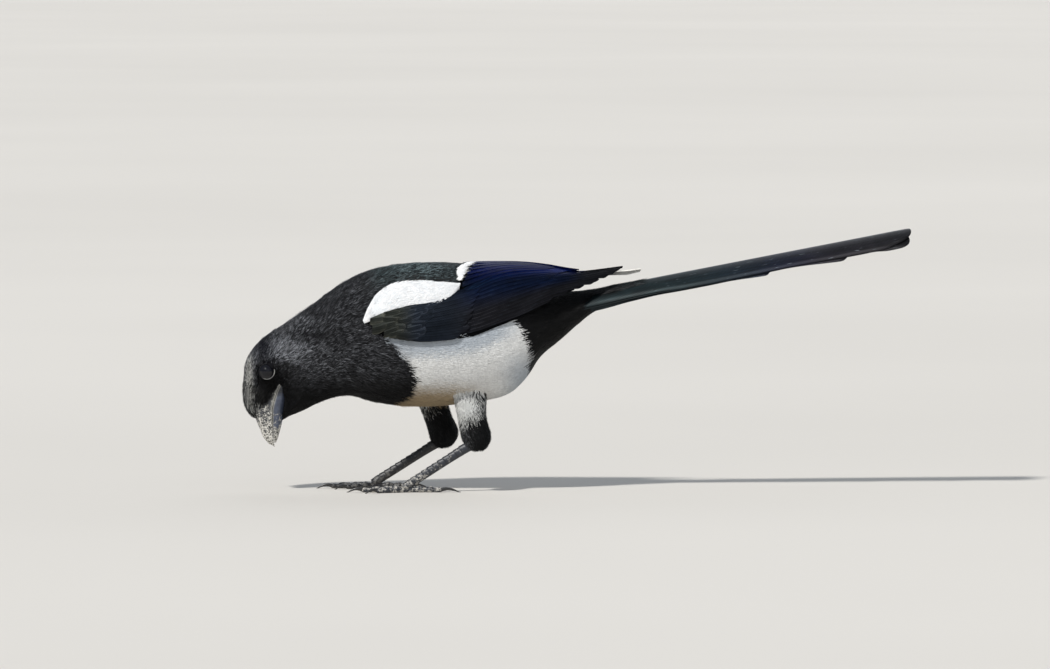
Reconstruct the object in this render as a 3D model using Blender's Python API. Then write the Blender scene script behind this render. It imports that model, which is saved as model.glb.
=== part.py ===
"""Eurasian magpie at life size: it stands with its bill pointing straight down and its long
tail raised behind it. +Z is up, the bird faces -X, and its left side is -Y. The floor is z = 0.
All the lengths below are millimetres, and mesh_object turns them to metres."""

import math

import bmesh
import bpy
import numpy as np

MM = 0.001
GAP = 0.3

# Ribs of the body from the bill's root to the tail's root: the point on the forehead, crown
# or back as (x, z), the point on the chin, breast or belly as (x, z), and half the width.
RIBS = (
    ((-195.5, 43.3), (-180.6, 41.5), 4.6),
    ((-200.4, 46.7), (-177.4, 44.5), 6.0),
    ((-203.6, 54.9), (-172.9, 46.6), 8.6),
    ((-203.6, 67.1), (-165.6, 49.7), 13.4),
    ((-201.6, 80.5), (-159.8, 52.8), 16.4),
    ((-192.2, 92.6), (-154.3, 55.0), 17.2),
    ((-177.2, 102.8), (-148.8, 56.9), 18.0),
    ((-161.3, 113.8), (-143.0, 57.9), 20.4),
    ((-146.1, 124.9), (-136.3, 57.8), 24.6),
    ((-130.2, 133.3), (-127.2, 54.9), 29.8),
    ((-111.3, 137.7), (-113.8, 52.5), 34.2),
    ((-90.0, 139.4), (-94.9, 51.2), 36.4),
    ((-68.6, 138.4), (-74.7, 52.5), 36.2),
    ((-49.1, 134.6), (-56.4, 54.9), 34.0),
    ((-33.2, 129.2), (-41.2, 59.5), 30.0),
    ((-21.0, 125.0), (-30.8, 69.5), 25.0),
    ((-11.9, 122.4), (-22.3, 82.0), 20.6),
    ((-2.7, 121.6), (-10.1, 92.4), 16.4),
    ((7.6, 122.6), (2.1, 103.1), 12.6),
    ((13.9, 123.8), (11.3, 109.8), 10.4),
)
RIB_SIDES = 24
NECK_FROM, TORSO_FROM = 5.35, 8.3
SQUARENESS = 2.15

EYE_CENTRE = (-189.2, 73.4)
EYE_BALL = 5.6
EYE_OPENING = 4.7
LID = 0.9

# The bill points down, so its outlines are (z, x) pairs from the gape down to the tip.
CULMEN = ((66.0, -194.0), (60.0, -197.0), (50.0, -197.9), (43.6, -196.3), (38.0, -194.0),
          (32.5, -191.7), (28.6, -188.6), (26.8, -185.2))
TOMIUM = ((66.0, -180.3), (60.0, -183.4), (50.0, -186.0), (43.6, -186.0), (38.0, -185.9),
          (32.5, -185.6), (28.6, -185.1), (26.8, -184.6))
GONYS = ((66.0, -175.5), (60.0, -176.5), (50.0, -178.4), (43.6, -179.8), (38.0, -181.1),
         (32.5, -182.6), (29.2, -183.8))
UPPER_HALF_WIDTH = ((66.0, 7.3), (60.0, 7.0), (50.0, 6.6), (43.6, 5.8), (38.0, 4.7),
                    (32.5, 3.3), (28.6, 1.7), (26.8, 0.5))
LOWER_HALF_WIDTH = ((66.0, 7.0), (60.0, 6.8), (50.0, 6.2), (43.6, 5.2), (38.0, 4.1),
                    (32.5, 2.7), (29.2, 0.7))
BILL_ROOT = 66.0
UPPER_TIP, LOWER_TIP = 26.8, 29.2
BILL_RINGS = 10
MOUTH_CORNER = ((-181.6, 63.0), (-179.4, 67.4))
# Side view of the bill where it is bare: the feathers' edge on the face runs round it.
BARE_BILL = ((-195.8, 43.3), (-196.1, 50.0), (-192.5, 53.7), (-188.8, 56.1), (-185.7, 59.2),
             (-182.7, 63.4), (-180.9, 64.7), (-178.7, 57.3), (-178.1, 54.9), (-178.7, 48.8),
             (-179.7, 42.7), (-181.0, 36.0), (-194.0, 36.0))
FACE_SLOPE = 0.62
# Stiff feathers over the bill's root, as (x, z) of the root and of the tip on either side.
BRISTLES = (
    ((-201.4, 58.0), (-195.6, 43.6)),
    ((-198.0, 59.0), (-192.6, 44.4)),
    ((-194.6, 60.5), (-190.2, 46.8)),
    ((-191.4, 62.5), (-188.4, 50.0)),
)

# The folded wings form a roof: ridge height, lower edge height and half width along x.
ROOF_X = (-135.0, -112.0, -90.0, -64.0, -49.0, -33.0, -17.0, -6.0, 5.0, 17.0, 30.0)
ROOF_TOP = (132.0, 137.0, 138.6, 137.8, 137.8, 137.6, 136.4, 135.0, 134.8, 135.6, 136.6)
ROOF_LOW = (97.0, 93.4, 92.2, 95.0, 101.0, 107.6, 116.6, 121.6, 125.4, 129.4, 134.6)
ROOF_HALF = (29.6, 34.6, 36.8, 36.4, 34.4, 30.8, 25.6, 21.2, 16.4, 11.4, 5.6)
WING_FRONT, WING_FRONT_LEAN = -116.0, 12.5
WING_DEPTH = 3.6
WING_CORE_END = -2.0
VANE = 0.6
SHINGLE = 0.6
# The room for a feathered node reaches this far out, and a shoulder's this far in.
ROOM_TOP = 9.0
SHOULDER_ROOM = 1.8

# Folded wing, from the lower edge up: where each feather starts, bends and ends, as how far
# back it lies and how far across the roof.
PRIMARY_TIPS = ((-9.0, 0.05), (4.0, 0.06), (11.5, 0.08), (17.5, 0.14), (22.5, 0.25),
                (26.5, 0.42), (29.5, 0.62))

# The tail: its root, its rise, and how far each pair of feathers reaches along it.
TAIL_ROOT = (2.0, 116.5)
TAIL_RISE = math.radians(11.0)
TAIL_TOP = 4.5
TAIL_START = 14.0
TAIL_REACH = (205.5, 196.0, 170.0, 147.0, 124.0, 104.0)
TAIL_HALF_FEATHER = 10.5
TAIL_STEP = 0.95

# Each leg: the heel and the ball of the foot as (x, y, z), then the middle of the feathered
# thigh from its top to below the heel as (x, z), with its half width and half depth.
LEGS = {
    "left": ((-64.4, -17.5, 29.4), (-103.6, -18.5, 4.2)),
    "right": ((-83.8, 17.5, 29.4), (-122.8, 18.5, 4.6)),
}
THIGHS = {
    "left": ((-66.0, 66.0), (-65.5, 58.0), (-64.8, 50.0), (-63.8, 43.0), (-62.3, 37.0),
             (-61.5, 31.5), (-61.2, 27.5), (-61.2, 25.2)),
    "right": ((-93.0, 66.0), (-90.6, 58.0), (-87.6, 50.0), (-85.0, 43.0), (-82.4, 37.0),
              (-81.8, 31.5), (-82.2, 27.2), (-82.8, 24.8)),
}
THIGH_RADII = ((9.0, 11.0), (8.4, 10.0), (7.2, 8.6), (7.0, 8.4), (7.0, 8.9), (6.4, 8.2),
               (4.8, 5.8), (2.4, 2.8))
TOES = (
    # heading in degrees from straight ahead, length of the toe, length of its claw
    (-24.0, 20.0, 8.5),
    (2.0, 27.0, 9.5),
    (26.0, 20.0, 8.0),
    (180.0, 20.0, 12.0),
)
TOE_RADIUS = 2.1
LEG_AHEAD = (-1.0, 0.0, 0.0)


def spline(values, at):
    """Catmull-Rom curve through the rows of values, read at a position counted in rows."""
    rows = np.asarray(values, float)
    last = len(rows) - 1
    at = min(max(at, 0.0), float(last))
    i = min(int(at), last - 1)
    t = at - i
    before, after = rows[max(i - 1, 0)], rows[min(i + 2, last)]
    a, b = rows[i], rows[i + 1]
    return 0.5 * (
        2 * a + (b - before) * t + (2 * before - 5 * a + 4 * b - after) * t * t
        + (3 * a - before - 3 * b + after) * t ** 3
    )


def smooth(t):
    t = min(max(t, 0.0), 1.0)
    return t * t * (3 - 2 * t)


def clear_scene():
    for thing in list(bpy.data.objects):
        bpy.data.objects.remove(thing, do_unlink=True)


def finish(name, colour, roughness, metallic=0.0):
    material = bpy.data.materials.new(name)
    material.use_nodes = True
    shader = material.node_tree.nodes["Principled BSDF"]
    shader.inputs["Base Color"].default_value = (*colour, 1.0)
    shader.inputs["Roughness"].default_value = roughness
    shader.inputs["Metallic"].default_value = metallic
    return material


def mesh_of(name, points, faces):
    """Closed mesh in metres from points in millimetres, with its faces turned outwards."""
    mesh = bpy.data.meshes.new(name)
    mesh.from_pydata([tuple(MM * float(c) for c in p) for p in points], [], faces)
    form = bmesh.new()
    form.from_mesh(mesh)
    bmesh.ops.recalc_face_normals(form, faces=form.faces)
    if form.calc_volume(signed=True) < 0:
        bmesh.ops.reverse_faces(form, faces=form.faces)
    form.to_mesh(mesh)
    form.free()
    return mesh


def mesh_object(name, points, faces):
    thing = bpy.data.objects.new(name, mesh_of(name, points, faces))
    bpy.context.scene.collection.objects.link(thing)
    return thing


def loft(name, rings):
    """Closed tube through rings of points, with a flat cap at each end."""
    sides = len(rings[0])
    points = [p for ring in rings for p in ring]
    faces = []
    for i in range(len(rings) - 1):
        for j in range(sides):
            a, b = i * sides + j, i * sides + (j + 1) % sides
            faces += [(a, b, b + sides), (a, b + sides, a + sides)]
    faces.append(tuple(range(sides)))
    faces.append(tuple(range((len(rings) - 1) * sides, len(rings) * sides)))
    return mesh_object(name, points, faces)


def sheet(name, upper, lower):
    """Closed thin form between two grids of points, split alike on both faces."""
    rows, columns = len(upper), len(upper[0])
    points = [p for row in upper for p in row] + [p for row in lower for p in row]
    under = rows * columns
    faces = []
    for i in range(rows - 1):
        for j in range(columns - 1):
            a = i * columns + j
            b, c, d = a + 1, a + columns + 1, a + columns
            if 1.3 * math.dist(points[b], points[d]) < math.dist(points[a], points[c]):
                a, b, c, d = b, c, d, a
            faces += [(a, b, c), (a, c, d)]
            faces += [(under + a, under + c, under + b), (under + a, under + d, under + c)]
    rim = [(0, j) for j in range(columns)]
    rim += [(i, columns - 1) for i in range(1, rows)]
    rim += [(rows - 1, j) for j in range(columns - 2, -1, -1)]
    rim += [(i, 0) for i in range(rows - 2, 0, -1)]
    rim = [i * columns + j for i, j in rim]
    for a, b in zip(rim, rim[1:] + rim[:1]):
        faces += [(a, a + under, b + under), (a, b + under, b)]
    return mesh_object(name, points, faces)


def boolean(thing, others, operation):
    """Applies one Boolean with a collection of closed objects, which are then removed."""
    group = bpy.data.collections.new(thing.name + "_pieces")
    for other in others:
        group.objects.link(other)
    for solver in ("EXACT", "MANIFOLD"):
        cut = thing.modifiers.new("join", "BOOLEAN")
        cut.operation = operation
        cut.operand_type = "COLLECTION"
        cut.collection = group
        cut.solver = solver
        graph = bpy.context.evaluated_depsgraph_get()
        graph.update()
        result = bpy.data.meshes.new_from_object(thing.evaluated_get(graph))
        thing.modifiers.remove(cut)
        if is_closed(result):
            break
    thing.data = result
    for other in others:
        bpy.data.objects.remove(other, do_unlink=True)
    bpy.data.collections.remove(group)
    keep_largest(thing)
    return thing


def is_closed(mesh):
    form = bmesh.new()
    form.from_mesh(mesh)
    closed = all(len(edge.link_faces) == 2 for edge in form.edges)
    form.free()
    return closed


def keep_largest(thing):
    """Leaves only the closed surface that holds the largest volume."""
    form = bmesh.new()
    form.from_mesh(thing.data)
    bmesh.ops.triangulate(form, faces=form.faces)
    form.faces.ensure_lookup_table()
    unseen = set(form.faces)
    shells = []
    while unseen:
        stack = [unseen.pop()]
        shell = list(stack)
        while stack:
            for edge in stack.pop().edges:
                for face in edge.link_faces:
                    if face in unseen:
                        unseen.remove(face)
                        stack.append(face)
                        shell.append(face)
        corners = [[vertex.co for vertex in face.verts] for face in shell]
        volume = sum(a.dot(b.cross(c)) for a, b, c in corners) / 6
        shells.append((volume, shell))
    shells.sort(key=lambda pair: pair[0])
    loose = [face for _, shell in shells[:-1] for face in shell]
    bmesh.ops.delete(form, geom=loose, context="FACES")
    form.to_mesh(thing.data)
    form.free()


def slice_off(thing, point, normal):
    """Removes what lies on the normal's side of a plane, and closes the cut."""
    form = bmesh.new()
    form.from_mesh(thing.data)
    made = bmesh.ops.bisect_plane(
        form,
        geom=form.verts[:] + form.edges[:] + form.faces[:],
        dist=1e-7,
        plane_co=[MM * c for c in point],
        plane_no=normal,
        clear_outer=True,
    )
    rim = [item for item in made["geom_cut"] if isinstance(item, bmesh.types.BMEdge)]
    bmesh.ops.contextual_create(form, geom=rim)
    bmesh.ops.recalc_face_normals(form, faces=form.faces)
    form.to_mesh(thing.data)
    form.free()


def along(table, z):
    """Value at height z of a table of (z, value) pairs that runs downwards."""
    rows = table[::-1]
    return float(np.interp(z, [row[0] for row in rows], [row[1] for row in rows]))


def bare_distance(x, z):
    """How far the side view's point (x, z) lies outside the bare bill, negative inside."""
    near, inside = 1e9, False
    for (ax, az), (bx, bz) in zip(BARE_BILL, BARE_BILL[1:] + BARE_BILL[:1]):
        run, rise = bx - ax, bz - az
        t = ((x - ax) * run + (z - az) * rise) / (run * run + rise * rise)
        t = min(max(t, 0.0), 1.0)
        near = min(near, math.hypot(x - ax - run * t, z - az - rise * t))
        if (az > z) != (bz > z) and x < ax + (z - az) * run / rise:
            inside = not inside
    return -near if inside else near


def face_limit(x, z):
    """Most that the face is wide at the side view's point (x, z), so that the bill is bare."""
    away = bare_distance(x, z)
    width = along(UPPER_HALF_WIDTH, z)
    if away < 0.0:
        return max(0.5 * width + away, 0.6)
    behind = min(max((x - along(CULMEN, z)) / 6.0, 0.0), 1.0)
    return width * math.sqrt(behind) + GAP + FACE_SLOPE * away


def rib(at, lift=0.0):
    """One ring of the body's outline, lifted outwards by so many millimetres."""
    row = spline([[*back, *front, half] for back, front, half in RIBS], at)
    back, front, half = row[0:2], row[2:4], row[4] + lift
    middle = (back + front) / 2
    tall = np.linalg.norm(back - front) / 2
    up = (back - front) / (2 * tall)
    ring = []
    for j in range(RIB_SIDES):
        angle = 2 * math.pi * j / RIB_SIDES
        c, s = math.cos(angle), math.sin(angle)
        high = (tall + lift) * math.copysign(abs(c) ** (2 / SQUARENESS), c)
        wide = half * abs(s) ** (2 / SQUARENESS)
        x, z = middle[0] + up[0] * high, middle[1] + up[1] * high
        if at < NECK_FROM:
            wide = min(wide, face_limit(x, z))
        ring.append((x, math.copysign(wide, s), z))
    return ring


def flesh(name, start, end, steps, lift=0.0):
    return loft(name, [rib(start + (end - start) * i / steps, lift) for i in range(steps + 1)])


def bill_half(name, upper, grow=0.0):
    """One half of the bill as a loft from its root down to its tip."""
    low = UPPER_TIP if upper else LOWER_TIP
    steps = 27 if grow else 9
    heights = np.linspace(BILL_ROOT, low, BILL_RINGS)
    heights[0] += grow
    widths = UPPER_HALF_WIDTH if upper else LOWER_HALF_WIDTH
    rings = []
    for z in heights:
        inner = along(TOMIUM, z) + (1.0 if upper else -1.0) * (1.0 if grow else -GAP / 2)
        outer = along(CULMEN if upper else GONYS, z) + (-grow if upper else grow)
        half = along(widths, z) + grow
        reach = outer - inner
        ring = []
        for j in range(steps + 1):
            angle = math.pi * (j / steps - 0.5)
            ring.append((inner + reach * math.cos(angle) ** 0.8, half * math.sin(angle), z))
        rings.append(ring)
    if grow:
        rings.append([(x, y, low - 3 * grow) for x, y, _ in rings[-1]])
    return loft(name, rings)


def ball(name, centre, radius, rings=8, sides=14):
    points = [(centre[0], centre[1], centre[2] + radius)]
    for i in range(1, rings):
        tilt = math.pi * i / rings
        for j in range(sides):
            turn = 2 * math.pi * j / sides
            points.append((
                centre[0] + radius * math.sin(tilt) * math.cos(turn),
                centre[1] + radius * math.sin(tilt) * math.sin(turn),
                centre[2] + radius * math.cos(tilt),
            ))
    points.append((centre[0], centre[1], centre[2] - radius))
    last = len(points) - 1
    faces = [(0, 1 + j, 1 + (j + 1) % sides) for j in range(sides)]
    for i in range(rings - 2):
        for j in range(sides):
            a, b = 1 + i * sides + j, 1 + i * sides + (j + 1) % sides
            faces += [(a, a + sides, b + sides), (a, b + sides, b)]
    faces += [(last, last - 1 - j, last - 1 - (j + 1) % sides) for j in range(sides)]
    return mesh_object(name, points, faces)


def torus(name, centre, major, minor, sides=12, around=5):
    """Ring about an axis along Y."""
    points, faces = [], []
    for i in range(sides):
        a = 2 * math.pi * i / sides
        for j in range(around):
            b = 2 * math.pi * j / around
            out = major + minor * math.cos(b)
            points.append((
                centre[0] + out * math.cos(a),
                centre[1] + minor * math.sin(b),
                centre[2] + out * math.sin(a),
            ))
    for i in range(sides):
        for j in range(around):
            a, b = i * around + j, i * around + (j + 1) % around
            c, d = ((i + 1) % sides) * around + (j + 1) % around, ((i + 1) % sides) * around + j
            faces += [(a, b, c), (a, c, d)]
    return mesh_object(name, points, faces)


def head_half_width(x, z):
    """Half the width of the head where the side view shows the point (x, z)."""
    near = []
    for step in range(0, 121):
        ring = rib(step / 20)[: RIB_SIDES // 2 + 1]
        for a, b in zip(ring, ring[1:]):
            for t in (0.0, 0.25, 0.5, 0.75):
                point = [p + (q - p) * t for p, q in zip(a, b)]
                near.append(((point[0] - x) ** 2 + (point[2] - z) ** 2, point[1]))
    return min(near)[1]


def roof(x, across, side, lift=0.0):
    """Point on the folded wings' roof: across runs from the lower edge (0) to the ridge (1)."""
    top = float(np.interp(x, ROOF_X, ROOF_TOP))
    low = float(np.interp(x, ROOF_X, ROOF_LOW))
    half = float(np.interp(x, ROOF_X, ROOF_HALF))
    angle = across * math.pi / 2
    out = np.array([math.cos(angle) / half, math.sin(angle) / (top - low)])
    out /= np.linalg.norm(out)
    y = half * math.cos(angle) + lift * out[0]
    z = low + (top - low) * math.sin(angle) + lift * out[1]
    return (x, side * y, z)


def roof_span(x):
    """Length of the roof from its lower edge to the ridge."""
    top = float(np.interp(x, ROOF_X, ROOF_TOP))
    low = float(np.interp(x, ROOF_X, ROOF_LOW))
    half = float(np.interp(x, ROOF_X, ROOF_HALF))
    return math.pi / 2 * math.sqrt((half ** 2 + (top - low) ** 2) / 2)


def across_at(x, z):
    """Place across the roof where the side view shows the height z."""
    top = float(np.interp(x, ROOF_X, ROOF_TOP))
    low = float(np.interp(x, ROOF_X, ROOF_LOW))
    return 2 / math.pi * math.asin(min(max((z - low) / (top - low), 0.0), 1.0))


def vane(side, path, half, lift, steps=4):
    """Flat feather on the roof along (x, across) points, its lower edge lifted outwards."""
    upper, lower = [], []
    for i in range(steps + 1):
        t = 1 - (1 - i / steps) ** 1.3
        x, mid = spline(path, t * (len(path) - 1))
        wide = half * (0.5 + 0.5 * smooth(t / 0.4))
        wide *= math.sqrt(max(1 - max(t - 0.7, 0) ** 2 / 0.094, 0.05))
        span = roof_span(x)
        up_row, low_row = [], []
        for c in (-1.0, 1.0):
            at = min(max(mid + c * wide / span, 0.0), 0.985)
            height = lift - c * SHINGLE
            up_row.append(roof(x, at, side, height + VANE / 2))
            low_row.append(roof(x, at, side, height - VANE / 2))
        upper.append(up_row)
        lower.append(low_row)
    return sheet("vane", upper, lower)


def wing_top(x):
    """How far up the roof the folded wing reaches, before the shoulder feathers cover it."""
    return 0.46 + 0.52 * smooth((x + 80.0) / 13.0)


def wing_slab(name, side, inner, outer, grow=0.0):
    """Slab that carries the wing's feathers, or with grow the room it takes in the body."""
    rows, columns = 8, 5
    upper, lower = [], []
    for i in range(rows + (3 if grow else 0)):
        up_row, low_row = [], []
        for j in range(columns):
            v = j / (columns - 1)
            front = WING_FRONT - WING_FRONT_LEAN * math.sin(math.pi * min(v / 0.7, 1.0))
            x = front + (WING_CORE_END - front) * min(i / (rows - 1), 1.0)
            if i == 0:
                x -= 2.0 * grow
            if i >= rows:
                x += 12.0 * (i - rows + 1)
            at = v * wing_top(x)
            if grow and j == columns - 1:
                at = 1.04 if x > -73.0 else at + 0.01
                x -= 4.0 * grow
            down = grow if j == 0 else 0.0
            for row, height in ((up_row, outer), (low_row, inner)):
                p = roof(x, at, side, height)
                row.append((p[0], p[1], p[2] - down))
        upper.append(up_row)
        lower.append(low_row)
    return sheet(name, upper, lower)


def wing(side, label):
    """Folded wing: a slab along the body with its feathers in overlapping tiers."""
    core = wing_slab("wing_" + label, side, -WING_DEPTH, -0.5)
    vanes = []
    for k, (end, across) in enumerate(PRIMARY_TIPS):
        root = (-96.0 + 3.0 * k, 0.08 + 0.03 * k)
        knee = (end - 16.0, 0.10 + 0.06 * k + 0.012 * max(k - 2, 0) ** 2)
        vanes.append(vane(side, (root, knee, (end, across)), 2.7, 0.15 * k))
    for k in range(5):
        path = ((-84.0 + 3 * k, 0.33 + 0.02 * k), (-46.0, 0.44 + 0.07 * k),
                (-14.0 + 3.2 * k, 0.52 + 0.065 * k))
        vanes.append(vane(side, path, 3.0, 0.9 + 0.08 * k))
    for k in range(3):
        path = ((-69.0 + 2 * k, 0.52 + 0.08 * k), (-44.0, 0.74 + 0.08 * k),
                (-14.0 + 6.5 * k, 0.80 + 0.05 * k))
        vanes.append(vane(side, path, 4.0, 1.4 + 0.25 * k))
    for k in range(5):
        path = ((-102.0 + 2 * k, 0.09 + 0.055 * k), (-70.0 + 2 * k, 0.13 + 0.08 * k))
        vanes.append(vane(side, path, 3.6, 1.7, steps=2))
    for k in range(4):
        path = ((-112.0 + 1.5 * k, 0.09 + 0.07 * k), (-90.0 + 2 * k, 0.12 + 0.09 * k))
        vanes.append(vane(side, path, 3.3, 2.3, steps=2))
    return boolean(core, vanes, "UNION")


def shoulder_outline(along_it, over):
    """Side view of the white patch: along_it from its front to its tip, over across it."""
    low = spline(((-129.5, 103.4), (-118.0, 107.6), (-104.0, 111.4), (-89.0, 113.6),
                  (-78.6, 117.4), (-71.0, 125.0)), 5 * along_it)
    high = spline(((-130.5, 105.4), (-124.0, 118.4), (-113.0, 126.4), (-99.0, 128.4),
                   (-85.0, 127.8), (-71.0, 126.4)), 5 * along_it)
    return low + (high - low) * over


def shoulder_slab(name, side, grow, inner, outer):
    rows, columns = 7, 4
    upper, lower = [], []
    for i in range(rows):
        up_row, low_row = [], []
        for j in range(columns):
            over = j / (columns - 1)
            shift = grow * (-1 if j == 0 else 1 if j == columns - 1 else 0)
            ahead = grow * (-1 if i == 0 else 1 if i == rows - 1 else 0)
            for row, height in ((up_row, outer), (low_row, inner)):
                x, z = shoulder_outline(i / (rows - 1), over)
                p = roof(x, across_at(x, z), side, height)
                row.append((p[0] + ahead, p[1], p[2] + shift))
        upper.append(up_row)
        lower.append(low_row)
    return sheet(name, upper, lower)


def shoulder_room(side):
    """Room that a white patch takes in the wing and in the body."""
    return shoulder_slab("room", side, 2 * GAP, -SHOULDER_ROOM, ROOM_TOP)


def shoulder(side, label):
    """White shoulder feathers over the wing's root, one above the other."""
    core = shoulder_slab("shoulder_" + label, side, -0.4, -0.9, 0.8)
    vanes = []
    for k in range(4):
        path = []
        for along_it in (0.12 + 0.03 * k, 0.48 + 0.03 * k, 0.74 + 0.05 * k):
            x, z = shoulder_outline(along_it, 0.2 + 0.2 * k)
            path.append((x, across_at(x, z)))
        vanes.append(vane(side, path, 2.7, 1.2 + 0.1 * k))
    return boolean(core, vanes, "UNION")


def tail_point(reach, y, drop, height):
    """Point of the tail: reach along it, y across it, and so far down from its top surface."""
    roofed = 0.011 + 0.036 * smooth((reach - 115.0) / 80.0)
    high = TAIL_TOP + height - drop - roofed * y * y
    return (
        TAIL_ROOT[0] + reach * math.cos(TAIL_RISE) - high * math.sin(TAIL_RISE),
        y,
        TAIL_ROOT[1] + reach * math.sin(TAIL_RISE) + high * math.cos(TAIL_RISE),
    )


def tail_vane(side, order):
    """One tail feather: the middle pair lies on top, and the others step out beneath it."""
    if order == 0:
        drop = 0.0 if side < 0 else TAIL_STEP
    else:
        drop = TAIL_STEP * (order + 1)
    upper, lower = [], []
    for t in (0.0, 0.3, 0.65, 0.88, 0.97, 1.0):
        reach = TAIL_START + (TAIL_REACH[order] - TAIL_START) * t
        wide = TAIL_HALF_FEATHER * (0.6 + 0.4 * smooth(t / 0.5))
        wide *= math.sqrt(max(1 - max(t - 0.9, 0) ** 2 / 0.0108, 0.07))
        centre = 1.2 + 1.5 * order * smooth(0.4 + t) + 3.0 * smooth(3 * t - 2)
        up_row, low_row = [], []
        for c in (-1.0, 0.0, 1.0):
            y = centre + c * wide
            if order:
                y = max(y, 0.5 + 0.6 * (c + 1.0))
            up_row.append(tail_point(reach, side * y, drop, VANE / 2))
            low_row.append(tail_point(reach, side * y, drop, -VANE / 2))
        upper.append(up_row)
        lower.append(low_row)
    return sheet("vane", upper, lower)


def tail():
    """Tail feathers fused at the root in a short stump that meets the body's end."""
    root = [np.array(p) for p in rib(len(RIBS) - 1.0)[::2]]
    axis = np.array([math.cos(TAIL_RISE), 0.0, math.sin(TAIL_RISE)])
    middle = sum(root) / len(root)
    rings = []
    for reach, scale in ((GAP, 1.0), (9.0, 0.86), (20.0, 0.5)):
        rings.append([middle + (p - middle) * scale + axis * reach for p in root])
    core = loft("tail", rings)
    vanes = [tail_vane(side, order) for order in range(6) for side in (-1, 1)]
    return boolean(core, vanes, "UNION")


def tube(name, path, radii, sides=10, floor=None, hint=(0.0, 0.0, 1.0)):
    """Round tube along a path, with its underside flat where it would reach past the floor."""
    path = [np.asarray(p, float) for p in path]
    rings = []
    for i, point in enumerate(path):
        ahead = path[min(i + 1, len(path) - 1)] - path[max(i - 1, 0)]
        ahead /= np.linalg.norm(ahead)
        aside = np.cross(hint, ahead)
        aside /= np.linalg.norm(aside)
        up = np.cross(ahead, aside)
        wide, tall = radii[i]
        ring = []
        for j in range(sides):
            angle = 2 * math.pi * (j + 0.5) / sides - math.pi / 2
            p = point + aside * wide * math.cos(angle) + up * tall * math.sin(angle)
            if floor is not None:
                p[2] = max(p[2], floor)
            ring.append(p)
        rings.append(ring)
    return loft(name, rings)


def thigh_tube(name, label, grow=0.0):
    """Feathered thigh, which hangs over the heel as a round tuft."""
    y = LEGS[label][0][1]
    path = [(x, y, z) for x, z in THIGHS[label]]
    path[-1] = (path[-1][0], y, path[-1][2] - grow)
    radii = [(wide + grow, deep + grow) for wide, deep in THIGH_RADII]
    return tube(name, path, radii, 14, hint=LEG_AHEAD)


def thigh(label):
    """Thigh, cut clear of the belly that it comes out of."""
    belly = flesh("cutter", TORSO_FROM, len(RIBS) - 1.0, 24, GAP)
    return boolean(thigh_tube("thigh_" + label, label), [belly], "DIFFERENCE")


def shank(label):
    """Bare lower leg from under the heel's feathers to the ball of the foot."""
    heel, ball_of_foot = (np.array(p) for p in LEGS[label])
    fore = (ball_of_foot - heel) / np.linalg.norm(ball_of_foot - heel)
    end = ball_of_foot - fore * 4.0
    path = [heel + (end - heel) * t for t in (0.0, 0.2, 0.4, 0.7, 1.0)]
    radii = [(2.7, 3.3), (2.3, 2.9), (1.9, 2.6), (1.9, 2.6), (2.3, 2.6)]
    form = tube("shank_" + label, path, radii, 10, hint=LEG_AHEAD)
    return boolean(form, [thigh_tube("cutter", label, GAP)], "DIFFERENCE")


def foot(label):
    """Ball of the foot with four toes and their claws, all flat on the floor."""
    heel, middle = (np.array(p) for p in LEGS[label])
    fore = (middle - heel) / np.linalg.norm(middle - heel)
    start = middle - fore * (4.0 - GAP - 0.2)
    hub = tube("foot_" + label, [start, middle - fore * 1.5, middle + fore * 1.6,
                                 middle + np.array([-3.0, 0.0, -1.4])],
               [(2.3, 2.5), (2.8, 2.8), (3.0, 2.6), (2.4, 2.2)], 10, floor=0.0)
    pieces = []
    for heading, length, claw in TOES:
        turn = math.radians(180.0 + heading)
        ahead = np.array([math.cos(turn), math.sin(turn), 0.0])
        root = np.array([middle[0], middle[1], 0.0]) + ahead * 0.5
        path, radii = [], []
        for i in range(6):
            t = i / 5
            pad = 0.22 * math.cos(3 * 2 * math.pi * t)
            radius = (TOE_RADIUS - 0.55 * t + pad)
            path.append(root + ahead * length * t + np.array([0, 0, radius * 0.86]))
            radii.append((radius * 0.95, radius))
        for t in (0.06, 0.4, 0.75, 1.0):
            arch = 1.1 + 1.3 * math.sin(math.pi * min(t * 1.12, 1.0)) - 0.9 * t
            thick = 1.15 * (1 - t) + 0.22
            path.append(root + ahead * (length + claw * t) + np.array([0, 0, arch]))
            radii.append((thick, thick))
        pieces.append(tube("toe", path, radii, 6, floor=0.0))
    return boolean(hub, pieces, "UNION")


def paint(thing, material, smooth_shade=True):
    thing.data.materials.clear()
    thing.data.materials.append(material)
    if smooth_shade:
        thing.data.shade_smooth()
        thing.data.set_sharp_from_angle(angle=math.radians(40.0))


def bristles(side):
    """Stiff feathers that lie over the bill's root on one side of the head."""
    made = []
    for root, tip in BRISTLES:
        upper, lower = [], []
        for i in range(4):
            t = i / 3
            x = root[0] + (tip[0] - root[0]) * t
            z = root[1] + (tip[1] - root[1]) * t
            wide = 1.5 * (1 - 0.75 * t)
            up_row, low_row = [], []
            for c in (-1.0, 1.0):
                level = max(head_half_width(x + c * wide, z), along(UPPER_HALF_WIDTH, z) * 0.9)
                level += -0.5 + 1.0 * smooth(2 * t)
                up_row.append((x + c * wide, side * (level + 0.45), z))
                low_row.append((x + c * wide, side * (level - 0.45), z))
            upper.append(up_row)
            lower.append(low_row)
        made.append(sheet("bristle", upper, lower))
    return made


def mouth_corner(side):
    """Thin cutter that carries the line of the mouth from the bill onto the cheek."""
    rings = []
    for i in range(4):
        x, z = (a + (b - a) * i / 3 for a, b in zip(*MOUTH_CORNER))
        level = head_half_width(x, z)
        rings.append([(x + across, side * (level + out), z)
                      for across, out in ((-GAP, 1.5), (GAP, 1.5), (GAP, -1.0), (-GAP, -1.0))])
    return loft("cutter", rings)


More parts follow.
